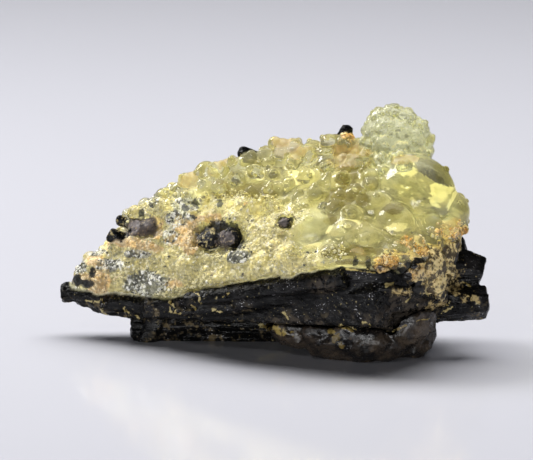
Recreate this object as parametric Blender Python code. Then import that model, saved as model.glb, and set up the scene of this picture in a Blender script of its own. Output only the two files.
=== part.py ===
"""Hyalite opal on schorl: a glassy, bead-covered crust grown over black tourmaline.

Four solids: the black crystal mass, the smoky quartz lump that it stands on,
the hyalite crust over the sloping top, and the tan sugary druse at its right end.

Millimetres while modelling, metres at the end. X runs along the specimen, -Y is the
front that shows the sloping crust, +Z is up, and the stone stands on Z = 0.
"""

import math
import random

import bmesh
import bpy
from mathutils import Matrix, Vector
from mathutils.bvhtree import BVHTree

METRES = 0.001

# Moves the finished stone over the origin, in millimetres.
SHIFT = (0.2, -0.4, 0.0)

# Driving dimensions, in millimetres.
LENGTH = 46.0
GAP = 0.3
CORE_GAP_SHARE = 1.25
CRUST_THICKNESS = 1.5
BACK_Y = 10.3
FACE_BULGE = 0.9

# The front view, from which places on the crust are read: how far the eye looks down,
# the size of one picture unit, and the unit that lies over the origin.
VIEW_DOWN = math.radians(12.0)
UNIT = LENGTH / 428.0
ORIGIN_ACROSS, ORIGIN_DOWN = 275.0, 352.8
EYE_BACK = 60.0

# Stations along the specimen: x, then (y, z) of the crust's front lip, (y, z) of the
# ridge, and z of the underside.
STATIONS = (
    (-21.6, (7.2, 5.5), (9.2, 7.4), 3.6),
    (-18.8, (5.5, 5.9), (9.2, 9.8), 2.6),
    (-15.0, (3.0, 6.2), (8.4, 14.3), 2.6),
    (-11.8, (0.5, 6.3), (8.0, 16.1), 3.2),
    (-8.1, (-2.0, 7.9), (7.5, 18.2), 3.6),
    (-3.8, (-4.5, 9.5), (7.0, 20.0), 3.6),
    (2.7, (-8.2, 11.4), (6.5, 20.8), 4.2),
    (7.5, (-10.0, 12.4), (6.0, 21.5), 4.4),
    (11.3, (-10.0, 12.1), (5.5, 21.3), 4.4),
    (14.5, (-8.6, 12.0), (4.5, 20.1), 4.4),
    (17.3, (-5.6, 12.4), (3.5, 18.4), 4.8),
    (19.3, (-2.6, 12.6), (2.5, 16.4), 6.2),
)
LEFT_TIP = (-22.4, 8.4, 5.3)
RIGHT_TIP = (20.3, 0.3, 13.4)
FULL_HEIGHT = 17.0
CORE_TOP = 0.9

# Black crystals: start, end, radius at each end, sides, turn about the axis in degrees.
CRYSTALS = {
    "front_prism": ((-13.6, 3.4, 4.6), (11.6, -7.0, 8.0), 1.7, 3.9, 6, 10),
    "front_low": ((-6.0, 2.0, 5.6), (13.0, -3.6, 6.0), 2.4, 3.2, 7, 0),
    "front_rib_high": ((-9.5, -1.2, 6.0), (7.5, -8.9, 10.3), 0.9, 1.4, 6, 30),
    "front_rib_low": ((-7.0, -0.6, 4.9), (9.0, -7.6, 6.2), 0.8, 1.3, 6, 0),
    "right_block": ((8.0, -5.6, 8.0), (17.4, -1.8, 8.4), 4.3, 3.3, 7, 25),
    "right_upper": ((15.0, 0.2, 11.2), (22.0, 0.6, 8.6), 2.6, 1.9, 6, 14),
    "right_lower": ((14.5, -1.6, 5.9), (22.6, -0.4, 5.8), 2.3, 1.8, 6, 40),
    "left_blade": ((-8.0, 3.4, 4.9), (-23.0, 8.8, 4.8), 2.2, 1.15, 6, 0),
    "left_under": ((-5.0, 6.0, 5.4), (-20.0, 8.8, 4.2), 2.6, 1.3, 7, 15),
    "left_back": ((-4.0, 8.2, 7.0), (-19.6, 9.5, 6.2), 2.5, 1.4, 6, 30),
    "back_low": ((-9.0, 8.2, 6.8), (16.5, 6.4, 7.4), 2.7, 3.4, 7, 5),
    "back_middle": ((-13.0, 8.7, 10.2), (15.6, 7.2, 11.4), 2.0, 2.8, 6, 20),
    "back_high": ((-9.5, 8.8, 13.2), (11.0, 8.2, 15.6), 1.9, 2.5, 6, 0),
    "back_stub": ((4.0, 8.4, 11.8), (18.8, 7.6, 9.0), 2.2, 1.7, 6, 45),
    "right_back_high": ((6.0, 5.6, 12.6), (18.4, 4.8, 13.4), 2.2, 1.7, 6, 10),
    "right_back_middle": ((8.0, 3.4, 9.6), (20.4, 3.4, 10.6), 2.0, 1.5, 7, 25),
    "right_back_low": ((6.0, 4.8, 7.2), (20.8, 3.8, 6.3), 2.3, 1.6, 6, 0),
    "ridge_end": ((2.0, 7.4, 18.0), (-3.9, 8.2, 20.5), 1.2, 0.8, 7, 0),
    "ridge_point": ((5.2, 7.2, 15.4), (7.9, 7.6, 23.4), 1.3, 0.75, 7, 0),
    "left_end_high": ((-12.5, 7.4, 11.6), (-17.2, 8.0, 12.9), 0.85, 0.7, 6, 20),
    "left_end_low": ((-13.0, 6.4, 9.6), (-18.0, 6.9, 11.6), 1.1, 0.9, 6, 50),
    "left_leg": ((-11.0, 6.0, 6.2), (-14.4, 6.4, -1.5), 2.6, 1.6, 7, 0),
    "back_heel": ((-15.6, 7.2, 1.5), (4.0, 7.0, 2.2), 2.4, 3.3, 7, 10),
}

# How uneven a crystal is: side corners turned by a share of a side, corner distances,
# the end's lean and the height of its tip as shares of the end radius.
CORNER_TURN = 0.16
CORNER_SIZES = (0.9, 1.08)
TIP_LEAN = 0.3
TIP_SHARE = 0.22
STEEP = 0.3

# Slender crystals laid along the black mass: how many, then the two lines between which
# their middles lie, as (x, y, z), their lengths and radii.
SPLINTERS = (
    (7, (-8.0, -0.8, 5.4), (9.0, -8.3, 9.2), (7.0, 13.0), (0.5, 1.0)),
    (4, (-17.0, 5.4, 4.2), (-9.0, 0.6, 4.6), (5.0, 9.0), (0.5, 0.9)),
    (5, (-6.0, 9.5, 7.0), (12.0, 9.1, 16.0), (7.0, 12.0), (0.6, 1.1)),
    (3, (0.0, 4.0, 4.4), (10.0, 6.0, 4.8), (6.0, 10.0), (0.6, 1.0)),
)
SPLINTER_SEED = 4
SPLINTER_TURN = 8.0

# Places where the black mass comes through the crust, in the front view: across, down,
# radius in picture units, and sides.
WINDOWS = ((208, 237, 13, 7), (229, 236, 12, 6), (284, 223, 7, 6), (134, 228, 11, 7), (148, 222, 9, 6))
WINDOW_DEPTH = 4.5
WINDOW_PROUD = 0.12
WINDOW_TAPER = 0.9

# Beads of hyalite in the front view: across, down and radius in picture units, and how
# much of the radius is sunk in the skin.
BEADS = (
    (134, 212, 8, 0.5), (149, 199, 10, 0.5), (163, 197, 10, 0.4), (178, 190, 9, 0.3),
    (191, 180, 9, 0.2), (206, 172, 12, 0.2), (222, 175, 10, 0.3), (234, 166, 10, 0.3),
    (249, 162, 11, 0.3), (264, 159, 10, 0.4), (281, 140, 11, -0.4), (282, 158, 9, 0.4),
    (296, 164, 10, 0.3), (297, 181, 10, 0.4), (301, 148, 9, 0.1), (314, 151, 12, 0.2),
    (329, 146, 9, 0.1), (327, 168, 14, 0.3), (344, 140, 12, 0.2), (241, 181, 10, 0.5),
    (257, 178, 10, 0.5), (272, 175, 10, 0.5), (280, 190, 10, 0.5), (226, 191, 10, 0.5),
    (209, 190, 11, 0.5), (194, 198, 10, 0.6), (312, 181, 10, 0.4), (317, 198, 11, 0.5),
    (339, 184, 13, 0.4), (356, 166, 12, 0.3), (362, 148, 10, 0.2), (371, 180, 12, 0.4),
    (354, 197, 12, 0.5), (334, 210, 11, 0.5), (381, 163, 11, 0.3), (396, 158, 11, 0.3),
    (413, 198, 43, 0.5), (449, 212, 20, 0.4), (372, 209, 18, 0.4), (391, 226, 22, 0.5),
    (429, 226, 12, 0.2), (446, 230, 11, 0.3), (460, 227, 8, 0.3),
    (414, 243, 9, 0.3), (312, 233, 25, 0.55), (345, 236, 16, 0.5), (364, 241, 15, 0.5),
    (304, 208, 12, 0.6), (270, 208, 13, 0.6), (248, 206, 12, 0.6), (222, 212, 12, 0.7),
    (172, 214, 12, 0.6), (276, 249, 11, 0.6), (116, 246, 9, 0.4), (92, 268, 9, 0.4),
    (160, 284, 12, 0.6), (128, 270, 13, 0.7), (330, 255, 12, 0.5), (396, 252, 12, 0.5),
)

# Low swells of the sugary lower part, then lumps of the glassy upper part, spread by
# chance inside boxes of the front view: box, how many, radii, sunk share.
SWELLS = (
    ((150, 222, 300, 272), 26, (12.0, 18.0), 0.66),
    ((96, 232, 168, 282), 12, (11.0, 15.0), 0.66),
    ((286, 150, 400, 250), 26, (10.0, 15.0), 0.3),
    ((180, 185, 300, 225), 18, (10.0, 14.0), 0.45),
)
SWELL_SEED = 5
SWELL_SPACING = 0.62

# Balls of at least this radius, in millimetres, get the finer ball.
FINE_RADIUS = 1.9

# The pale knob at the back right: centre and radius, then beads over its front.
KNOB_CENTRE, KNOB_RADIUS = (13.0, 6.2, 21.6), 3.6
KNOB_BEADS = (
    (377, 114, 11, 0.1), (393, 111, 11, 0.1), (408, 117, 9, 0.1), (420, 127, 9, 0.1),
    (427, 140, 9, 0.1), (428, 154, 9, 0.1), (385, 128, 10, 0.2), (400, 131, 10, 0.2),
    (413, 141, 10, 0.2), (415, 156, 10, 0.2), (371, 130, 9, 0.1), (368, 144, 9, 0.1),
    (385, 145, 10, 0.2), (399, 149, 10, 0.2),
)
KNOB_BACK_BEADS = 6
KNOB_BACK_RADIUS = 1.05

# Beads on the ridge and the back: how many, their radii, where they lie along X, how far
# up they face in degrees, how far they sink and how close they come.
BACK_BEADS = 26
BACK_BEAD_RADII = (0.8, 1.4)
BACK_ALONG = (-16.0, 18.5)
BACK_TILTS = (15.0, 80.0)
BACK_SUNK = 0.6
BACK_SPACING = 0.7
BACK_CENTRE = (5.0, 10.0)
BACK_SEED = 11

# How finely the beads run together, in millimetres, and the share of faces kept.
CRUST_GRAIN = 0.4
CRUST_SHARE = 0.125

# Tan sugary lumps at the right, in the front view: across, down and radius.
DRUSE_LUMPS = (
    (424, 264, 19), (407, 268, 17), (391, 264, 13), (440, 253, 16), (430, 281, 15),
    (414, 283, 12), (448, 243, 11), (442, 270, 11), (378, 268, 10), (437, 293, 9),
)
DRUSE_SUNK = 0.35

# Brown lumps of the foot: centre, radius, stretch, and turn about Z in radians.
FOOT_LUMPS = (
    ((9.0, 0.6, 2.2), 5.4, (1.42, 1.25, 0.62), 0.1),
    ((14.0, 0.0, 2.4), 3.6, (0.95, 1.15, 0.85), 0.0),
    ((2.8, 0.0, 2.9), 3.2, (1.2, 1.2, 0.75), 0.2),
    ((14.4, -3.7, 4.6), 2.9, (1.1, 0.85, 1.0), 0.3),
    ((9.4, -3.6, 2.3), 3.0, (1.4, 0.9, 0.85), -0.2),
    ((5.0, -3.2, 3.2), 2.0, (1.2, 0.9, 0.9), 0.5),
)
FOOT_BREAK = 0.09
FOOT_SEED = 2


def clear_scene():
    for old in list(bpy.data.objects):
        bpy.data.objects.remove(old)


def finish_mesh(name, bm):
    """A mesh object in millimetres, with its faces pointing out."""
    bmesh.ops.recalc_face_normals(bm, faces=bm.faces)
    mesh = bpy.data.meshes.new(name)
    bm.to_mesh(mesh)
    bm.free()
    obj = bpy.data.objects.new(name, mesh)
    bpy.context.scene.collection.objects.link(obj)
    return obj


def as_helper(obj):
    """Hides a cutter or a piece of a join from the finished model."""
    obj.hide_render = True
    obj.display_type = "WIRE"
    return obj


def as_part(obj):
    """Shows a finished solid."""
    obj.hide_render = False
    obj.display_type = "TEXTURED"
    return obj


def loft(name, rings, start, end):
    """A closed skin through rings of equally many points, drawn to a point at each end."""
    bm = bmesh.new()
    loops = [[bm.verts.new(p) for p in ring] for ring in rings]
    for one, two in zip(loops, loops[1:]):
        for i in range(len(one)):
            j = (i + 1) % len(one)
            bm.faces.new((one[i], one[j], two[j], two[i]))
    for loop, tip in ((loops[0], start), (loops[-1], end)):
        point = bm.verts.new(tip)
        for i in range(len(loop)):
            bm.faces.new((loop[i], loop[(i + 1) % len(loop)], point))
    bmesh.ops.triangulate(bm, faces=bm.faces)
    return finish_mesh(name, bm)


def face_points(lip, ridge, inward=0.0, top=1.0):
    """Four points up the sloping face, from lip to ridge, moved in under the crust."""
    low, high = Vector(lip), Vector(ridge)
    along = high - low
    out = Vector((-along.y, along.x)).normalized()
    places = ((0.0, 0.0), (0.34, FACE_BULGE), (0.7, FACE_BULGE), (top, 0.0))
    return [low + along * share + out * (bulge - inward) for share, bulge in places]


def crust_ring(x, lip, ridge, underside):
    """The crust's outer skin at a station. Its hidden side lies inside the black mass."""
    size = (ridge[1] - underside) / FULL_HEIGHT
    outside = face_points(lip, ridge)
    back = Vector(ridge) + Vector((2.8, -2.0)) * size + Vector((0.3, 0.0))
    edge = Vector(ridge) + Vector((3.0, -6.2)) * size + Vector((0.2, 0.0))
    deep = (Vector(lip) + edge) / 2 + Vector((0.0, -0.6)) * size
    under = Vector(lip) + Vector((1.6, -1.1)) * size
    return [(x, p.x, p.y) for p in (*outside, back, edge, deep, under)]


def core_ring(x, lip, ridge, underside, grow):
    """The black mass under the crust at a station."""
    height = ridge[1] - underside
    depth = BACK_Y - lip[0]
    size = min(height / FULL_HEIGHT, 1.0)
    inside = face_points(lip, ridge, CRUST_THICKNESS * min(1.4 * size, 1.0), CORE_TOP)
    back = Vector(ridge) + Vector((1.5, -3.6)) * size
    middle = Vector((BACK_Y - 0.05 * depth, underside + 0.5 * height))
    foot = Vector((BACK_Y - 0.14 * depth, underside + 0.06 * height))
    belly = Vector((lip[0] + 0.2 * depth, underside))
    arris = Vector((lip[0] + 0.06 * depth, underside + 0.55 * (lip[1] - underside)))
    ring = [*inside, back, middle, foot, belly, arris]
    centre = sum(ring, Vector((0.0, 0.0))) / len(ring)
    grown = [p + (p - centre).normalized() * grow * CORE_GAP_SHARE for p in ring]
    return [(x, p.x, p.y) for p in grown]


def crust_skin():
    """The crust's outer skin, before beads grow on it."""
    rings = [crust_ring(*station) for station in STATIONS]
    return as_helper(loft("crust_skin", rings, LEFT_TIP, RIGHT_TIP))


def core(name, grow):
    """The black mass under the crust, before crystals join it."""
    rings = [core_ring(*station, grow) for station in STATIONS]
    start = Vector(LEFT_TIP) + Vector((0.5 - grow, 0.2, -0.8))
    end = Vector(RIGHT_TIP) + Vector((grow - 0.8, 0.4, -1.6))
    return as_helper(loft(name, rings, start, end))


def crystal(name, key, grow, facts):
    """A striated column: an uneven many-sided prism with a low, off-centre end."""
    start, end, start_radius, end_radius, sides, turn = facts
    start, end = Vector(start), Vector(end)
    axis = (end - start).normalized()
    start, end = start - axis * grow, end + axis * grow
    across = axis.cross(Vector((0.0, 0.0, 1.0)))
    if across.length < STEEP:
        across = axis.cross(Vector((0.0, 1.0, 0.0)))
    across.normalize()
    upward = across.cross(axis)
    draw = random.Random(key)
    spokes = []
    for i in range(sides):
        corner = i + draw.uniform(-CORNER_TURN, CORNER_TURN)
        angle = math.radians(turn) + 2 * math.pi * corner / sides
        way = across * math.cos(angle) + upward * math.sin(angle)
        spokes.append((way, draw.uniform(*CORNER_SIZES)))
    aside, above = draw.uniform(-TIP_LEAN, TIP_LEAN), draw.uniform(-TIP_LEAN, TIP_LEAN)
    lean = (across * aside + upward * above) * end_radius
    bm = bmesh.new()
    rings = []
    for centre, radius in ((start, start_radius), (end, end_radius)):
        rings.append([bm.verts.new(centre + way * (radius * size + grow)) for way, size in spokes])
    for i in range(sides):
        j = (i + 1) % sides
        bm.faces.new((rings[0][i], rings[0][j], rings[1][j], rings[1][i]))
    bm.faces.new(rings[0])
    tip = bm.verts.new(end + axis * (TIP_SHARE * end_radius) + lean)
    for i in range(sides):
        bm.faces.new((rings[1][i], rings[1][(i + 1) % sides], tip))
    bmesh.ops.triangulate(bm, faces=bm.faces)
    return as_helper(finish_mesh(name, bm))


def group_of(name, members):
    """A collection of helpers for one Boolean."""
    group = bpy.data.collections.new(name)
    bpy.context.scene.collection.children.link(group)
    for member in members:
        bpy.context.scene.collection.objects.unlink(member)
        group.objects.link(member)
    return group


def boolean(obj, operation, operand):
    """Adds a Boolean with one object, or with every object of a collection."""
    modifier = obj.modifiers.new(operation.lower(), "BOOLEAN")
    modifier.operation = operation
    modifier.solver = "EXACT"
    if isinstance(operand, bpy.types.Collection):
        modifier.operand_type = "COLLECTION"
        modifier.collection = operand
    else:
        modifier.object = operand


def baked(obj):
    """Replaces an object's mesh with what its modifiers make of it."""
    graph = bpy.context.evaluated_depsgraph_get()
    mesh = bpy.data.meshes.new_from_object(obj.evaluated_get(graph))
    obj.modifiers.clear()
    obj.data = mesh
    return obj


def joined(name, body, members, cutters=()):
    """A new solid: a body with its members joined to it and the cutters taken out."""
    obj = body.copy()
    obj.name = name
    bpy.context.scene.collection.objects.link(obj)
    if members:
        boolean(obj, "UNION", group_of(name + "_members", members))
    for cutter in cutters:
        boolean(obj, "DIFFERENCE", cutter)
    return baked(obj)


def below_floor():
    """A block under Z = 0, which cuts every foot off flat."""
    bm = bmesh.new()
    bmesh.ops.create_cube(bm, size=1.0)
    bmesh.ops.scale(bm, verts=bm.verts, vec=(80.0, 60.0, 20.0))
    bmesh.ops.translate(bm, verts=bm.verts, vec=(0.0, 0.0, -10.0))
    return as_helper(finish_mesh("below_floor", bm))


def splinters():
    """Facts for the slender crystals along the black mass."""
    draw = random.Random(SPLINTER_SEED)
    facts = {}
    for count, near, far, lengths, radii in SPLINTERS:
        for i in range(count):
            share = (i + draw.uniform(0.2, 0.8)) / count
            rise = draw.uniform(-0.9, 0.9)
            middle = Vector(near).lerp(Vector(far), share) + Vector((0.0, 0.0, rise))
            along = (Vector(far) - Vector(near)) * Vector((1.0, 0.6, 0.25))
            turn = math.radians(draw.uniform(-SPLINTER_TURN, SPLINTER_TURN))
            way = Matrix.Rotation(turn, 3, "Y") @ along.normalized()
            half = draw.uniform(*lengths) / 2
            radius = draw.uniform(*radii)
            ends = (middle - way * half, middle + way * half)
            facts[f"splinter_{len(facts)}"] = (*ends, radius, radius * 0.8, 6, draw.uniform(0, 60))
    return facts


def windows(surface):
    """Facts for the crystals that come through the crust, set square to its skin."""
    facts = {}
    for across, down, units, sides in WINDOWS:
        place = from_front(surface, across, down)[0]
        normal = surface.find_nearest(place)[1]
        inner = place - normal * WINDOW_DEPTH
        outer = place + normal * WINDOW_PROUD
        radius = units * UNIT
        facts[f"window_{len(facts)}"] = (inner, outer, radius / WINDOW_TAPER, radius, sides, 0)
    return facts


def black_mass(name, grow, surface, cutters=()):
    """The core and all its crystals in one solid, or that solid grown by a gap."""
    body = core(name + "_core", grow)
    everything = {**CRYSTALS, **splinters(), **windows(surface)}
    members = [crystal(f"{name}_{key}", key, grow, facts) for key, facts in everything.items()]
    return joined(name, body, members, cutters)


def ball(name, centre, radius, detail=2, stretch=(1.0, 1.0, 1.0), turn=0.0):
    bm = bmesh.new()
    bmesh.ops.create_icosphere(bm, subdivisions=detail, radius=radius)
    shape = Matrix.Translation(centre) @ Matrix.Rotation(turn, 4, "Z") @ Matrix.Diagonal((*stretch, 1.0))
    bmesh.ops.transform(bm, matrix=shape, verts=bm.verts)
    return as_helper(finish_mesh(name, bm))


def surface_of(obj):
    bm = bmesh.new()
    bm.from_mesh(obj.data)
    tree = BVHTree.FromBMesh(bm)
    bm.free()
    return tree


def from_front(surface, across, down):
    """Where the front view's point lies on the surface, or beside it on the outline."""
    look = Vector((0.0, math.cos(VIEW_DOWN), -math.sin(VIEW_DOWN)))
    up = Vector((0.0, math.sin(VIEW_DOWN), math.cos(VIEW_DOWN)))
    on_plane = Vector(((across - ORIGIN_ACROSS) * UNIT, 0.0, 0.0)) + up * (ORIGIN_DOWN - down) * UNIT
    hit = surface.ray_cast(on_plane - look * EYE_BACK, look)[0]
    if hit is None:
        beside = surface.find_nearest(on_plane)[0]
        hit = (on_plane + look * (beside - on_plane).dot(look)).lerp(beside, 0.5)
    return hit, look


def front_ball(name, surface, across, down, units, sunk):
    """A ball seen at a place of the front view, partly sunk in the surface."""
    radius = units * UNIT
    place, look = from_front(surface, across, down)
    detail = 3 if radius > FINE_RADIUS else 2
    return ball(name, place + look * sunk * radius, radius, detail)


def front_beads(surface):
    return [front_ball(f"bead_{i}", surface, *facts) for i, facts in enumerate(BEADS)]


def swells(surface):
    """Lumps spread by chance between the beads, clear of one another's centres."""
    draw = random.Random(SWELL_SEED)
    taken = [facts[:3] for facts in BEADS]
    made = []
    for box, count, radii, sunk in SWELLS:
        for _ in range(count):
            across, down = draw.uniform(box[0], box[2]), draw.uniform(box[1], box[3])
            units = draw.uniform(*radii)
            apart = [math.hypot(across - a, down - d) / (units + r) for a, d, r in taken]
            if min(apart) > SWELL_SPACING:
                taken.append((across, down, units))
                made.append(front_ball(f"swell_{len(made)}", surface, across, down, units, sunk))
    return made


def knob_beads():
    """The knob's own ball and the beads over it, front and back."""
    centre = Vector(KNOB_CENTRE)
    made = [ball("knob", centre, KNOB_RADIUS)]
    surface = surface_of(made[0])
    for i, (across, down, units, sunk) in enumerate(KNOB_BEADS):
        radius = units * UNIT
        place = from_front(surface, across, down)[0]
        way = (place - centre).normalized()
        made.append(ball(f"knob_bead_{i}", centre + way * (KNOB_RADIUS - sunk * radius), radius))
    for i in range(KNOB_BACK_BEADS):
        angle = math.pi * (i - 0.5) / 4
        way = Vector((math.cos(angle), 0.9, math.sin(angle))).normalized()
        made.append(ball(f"knob_back_{i}", centre + way * KNOB_RADIUS, KNOB_BACK_RADIUS))
    return made


def back_beads(surface):
    """Beads scattered over the ridge and the back of the crust."""
    draw = random.Random(BACK_SEED)
    made, places = [], []
    while len(made) < BACK_BEADS:
        x = draw.uniform(*BACK_ALONG)
        tilt = math.radians(draw.uniform(*BACK_TILTS))
        radius = draw.uniform(*BACK_BEAD_RADII)
        way = Vector((0.0, -math.cos(tilt), -math.sin(tilt)))
        hit = surface.ray_cast(Vector((x, *BACK_CENTRE)) - way * EYE_BACK, way)[0]
        if hit is None or any((hit - p).length < BACK_SPACING * (r + radius) for p, r in places):
            continue
        places.append((hit, radius))
        made.append(ball(f"back_bead_{len(made)}", hit + way * BACK_SUNK * radius, radius))
    return made


def melted(obj, grain, share):
    """Runs a solid's beads together at a grain size, and keeps a share of the faces."""
    remesh = obj.modifiers.new("melt", "REMESH")
    remesh.mode = "VOXEL"
    remesh.voxel_size = grain
    thin = obj.modifiers.new("thin", "DECIMATE")
    thin.ratio = share
    return baked(obj)


def hyalite_crust(skin, surface, cutters):
    """The crust: its skin and all beads grown together, less the room of its neighbours."""
    beads = front_beads(surface) + swells(surface) + knob_beads() + back_beads(surface)
    solid = as_helper(melted(joined("beaded_skin", skin, beads), CRUST_GRAIN, CRUST_SHARE))
    return joined("hyalite_crust", solid, (), cutters)


def druse_mass(name, grow, black, cutters=()):
    """Tan sugary grains grown together in lumps, or that body grown by a gap."""
    surface = surface_of(black)
    lumps = []
    for i, (across, down, units) in enumerate(DRUSE_LUMPS):
        place, look = from_front(surface, across, down)
        radius = units * UNIT
        lumps.append(ball(f"{name}_lump_{i}", place + look * DRUSE_SUNK * radius, radius + grow))
    return joined(name, lumps[0], lumps[1:], cutters)


def smoky_quartz_foot(cutters):
    """The brown lump under the right half, flat where it stands."""
    lumps = []
    draw = random.Random(FOOT_SEED)
    for i, (place, size, stretch, turn) in enumerate(FOOT_LUMPS):
        lump = ball(f"foot_lump_{i}", place, size, 2, stretch, turn)
        centre = Vector(place)
        for vert in lump.data.vertices:
            vert.co = centre.lerp(vert.co, 1.0 + draw.uniform(-FOOT_BREAK, FOOT_BREAK))
        lumps.append(lump)
    return joined("smoky_quartz_foot", lumps[0], lumps[1:], cutters)


def keep_largest(obj):
    """Drops the loose crumbs that a cut leaves beside the main body."""
    bm = bmesh.new()
    bm.from_mesh(obj.data)
    unseen = set(bm.verts)
    bodies = []
    while unseen:
        stack, body = [unseen.pop()], []
        while stack:
            vert = stack.pop()
            body.append(vert)
            for edge in vert.link_edges:
                other = edge.other_vert(vert)
                if other in unseen:
                    unseen.remove(other)
                    stack.append(other)
        bodies.append(body)
    bodies.sort(key=len)
    for body in bodies[:-1]:
        bmesh.ops.delete(bm, geom=body, context="VERTS")
    bm.to_mesh(obj.data)
    bm.free()


def paint(obj, colour, roughness, transmission=0.0):
    material = bpy.data.materials.new(obj.name)
    material.use_nodes = True
    shader = material.node_tree.nodes["Principled BSDF"]
    shader.inputs["Base Color"].default_value = (*colour, 1.0)
    shader.inputs["Roughness"].default_value = roughness
    shader.inputs["Metallic"].default_value = 0.0
    shader.inputs["Transmission Weight"].default_value = transmission
    obj.data.materials.clear()
    obj.data.materials.append(material)


def main():
    clear_scene()
    floor = below_floor()
    skin = crust_skin()
    surface = surface_of(skin)
    matrix = black_mass("schorl_matrix", 0.0, surface, (floor,))
    room_for_matrix = as_helper(black_mass("matrix_room", GAP, surface))
    druse = druse_mass("iron_stained_druse", 0.0, matrix, (room_for_matrix,))
    room_for_druse = as_helper(druse_mass("druse_room", GAP, matrix))
    crust = hyalite_crust(skin, surface, (room_for_matrix, room_for_druse))
    foot = smoky_quartz_foot((room_for_matrix, room_for_druse, floor))
    for obj in (matrix, druse, crust, foot):
        as_part(obj)
        keep_largest(obj)
        obj.data.transform(Matrix.Scale(METRES, 4) @ Matrix.Translation(SHIFT))
    paint(matrix, (0.012, 0.012, 0.014), 0.3)
    paint(druse, (0.52, 0.36, 0.2), 0.6)
    paint(foot, (0.09, 0.07, 0.05), 0.35)
    paint(crust, (0.72, 0.74, 0.36), 0.08, transmission=0.8)


main()
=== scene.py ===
"""Looks of the hyalite opal specimen: a glassy crust of beads over black tourmaline.

Shapes are worked in millimetres before they are moved over the origin, and are turned
into metres at the end, so that places read from the front view fall on them.
"""

import math
import random

import bmesh
import bpy
import numpy as np
from mathutils import Matrix, Vector, noise
from mathutils.bvhtree import BVHTree


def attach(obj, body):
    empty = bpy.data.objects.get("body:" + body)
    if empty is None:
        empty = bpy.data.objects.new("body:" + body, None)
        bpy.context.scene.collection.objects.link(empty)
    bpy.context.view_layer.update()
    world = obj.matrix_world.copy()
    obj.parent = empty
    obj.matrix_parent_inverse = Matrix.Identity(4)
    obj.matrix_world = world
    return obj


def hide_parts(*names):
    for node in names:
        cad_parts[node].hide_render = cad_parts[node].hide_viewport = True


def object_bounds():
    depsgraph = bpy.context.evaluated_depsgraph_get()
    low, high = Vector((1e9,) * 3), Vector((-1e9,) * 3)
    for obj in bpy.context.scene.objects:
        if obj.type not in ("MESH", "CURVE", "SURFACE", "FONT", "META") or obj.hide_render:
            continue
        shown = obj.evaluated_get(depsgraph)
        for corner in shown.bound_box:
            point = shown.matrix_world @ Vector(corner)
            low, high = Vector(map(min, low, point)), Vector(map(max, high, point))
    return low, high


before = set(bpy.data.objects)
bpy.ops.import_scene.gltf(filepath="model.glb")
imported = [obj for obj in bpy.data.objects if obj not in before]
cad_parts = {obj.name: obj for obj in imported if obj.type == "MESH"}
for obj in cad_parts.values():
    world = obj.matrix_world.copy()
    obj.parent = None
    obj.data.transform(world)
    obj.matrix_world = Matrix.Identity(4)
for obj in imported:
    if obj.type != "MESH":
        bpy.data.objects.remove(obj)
CAD_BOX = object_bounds()

METRES = 0.001
SHIFT = Vector((0.2, -0.4, 0.0))
LENGTH = 46.0
FACE_BULGE = 0.9
MOST_TRIANGLES = 190000
FULL_HEIGHT = 17.0

# The front view: how far the eye looks down, the size of one picture unit, and the
# unit that lies over the origin.
VIEW_DOWN = math.radians(12.0)
UNIT = LENGTH / 428.0
ORIGIN_ACROSS, ORIGIN_DOWN = 275.0, 352.8
EYE_BACK = 60.0
LOOK = Vector((0.0, math.cos(VIEW_DOWN), -math.sin(VIEW_DOWN)))
UP = Vector((0.0, math.sin(VIEW_DOWN), math.cos(VIEW_DOWN)))

# Stations along the specimen: x, then (y, z) of the crust's front lip, (y, z) of the
# ridge, and z of the underside.
STATIONS = (
    (-21.6, (7.2, 5.5), (9.2, 7.4), 3.6),
    (-18.8, (5.5, 5.9), (9.2, 9.8), 2.6),
    (-15.0, (3.0, 6.2), (8.4, 14.3), 2.6),
    (-11.8, (0.5, 6.3), (8.0, 16.1), 3.2),
    (-8.1, (-2.0, 7.9), (7.5, 18.2), 3.6),
    (-3.8, (-4.5, 9.5), (7.0, 20.0), 3.6),
    (2.7, (-8.2, 11.4), (6.5, 20.8), 4.2),
    (7.5, (-10.0, 12.4), (6.0, 21.5), 4.4),
    (11.3, (-10.0, 12.1), (5.5, 21.3), 4.4),
    (14.5, (-8.6, 12.0), (4.5, 20.1), 4.4),
    (17.3, (-5.6, 12.4), (3.5, 18.4), 4.8),
    (19.3, (-2.6, 12.6), (2.5, 16.4), 6.2),
)
LEFT_TIP = (-22.4, 8.4, 5.3)
RIGHT_TIP = (20.3, 0.3, 13.4)

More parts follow.
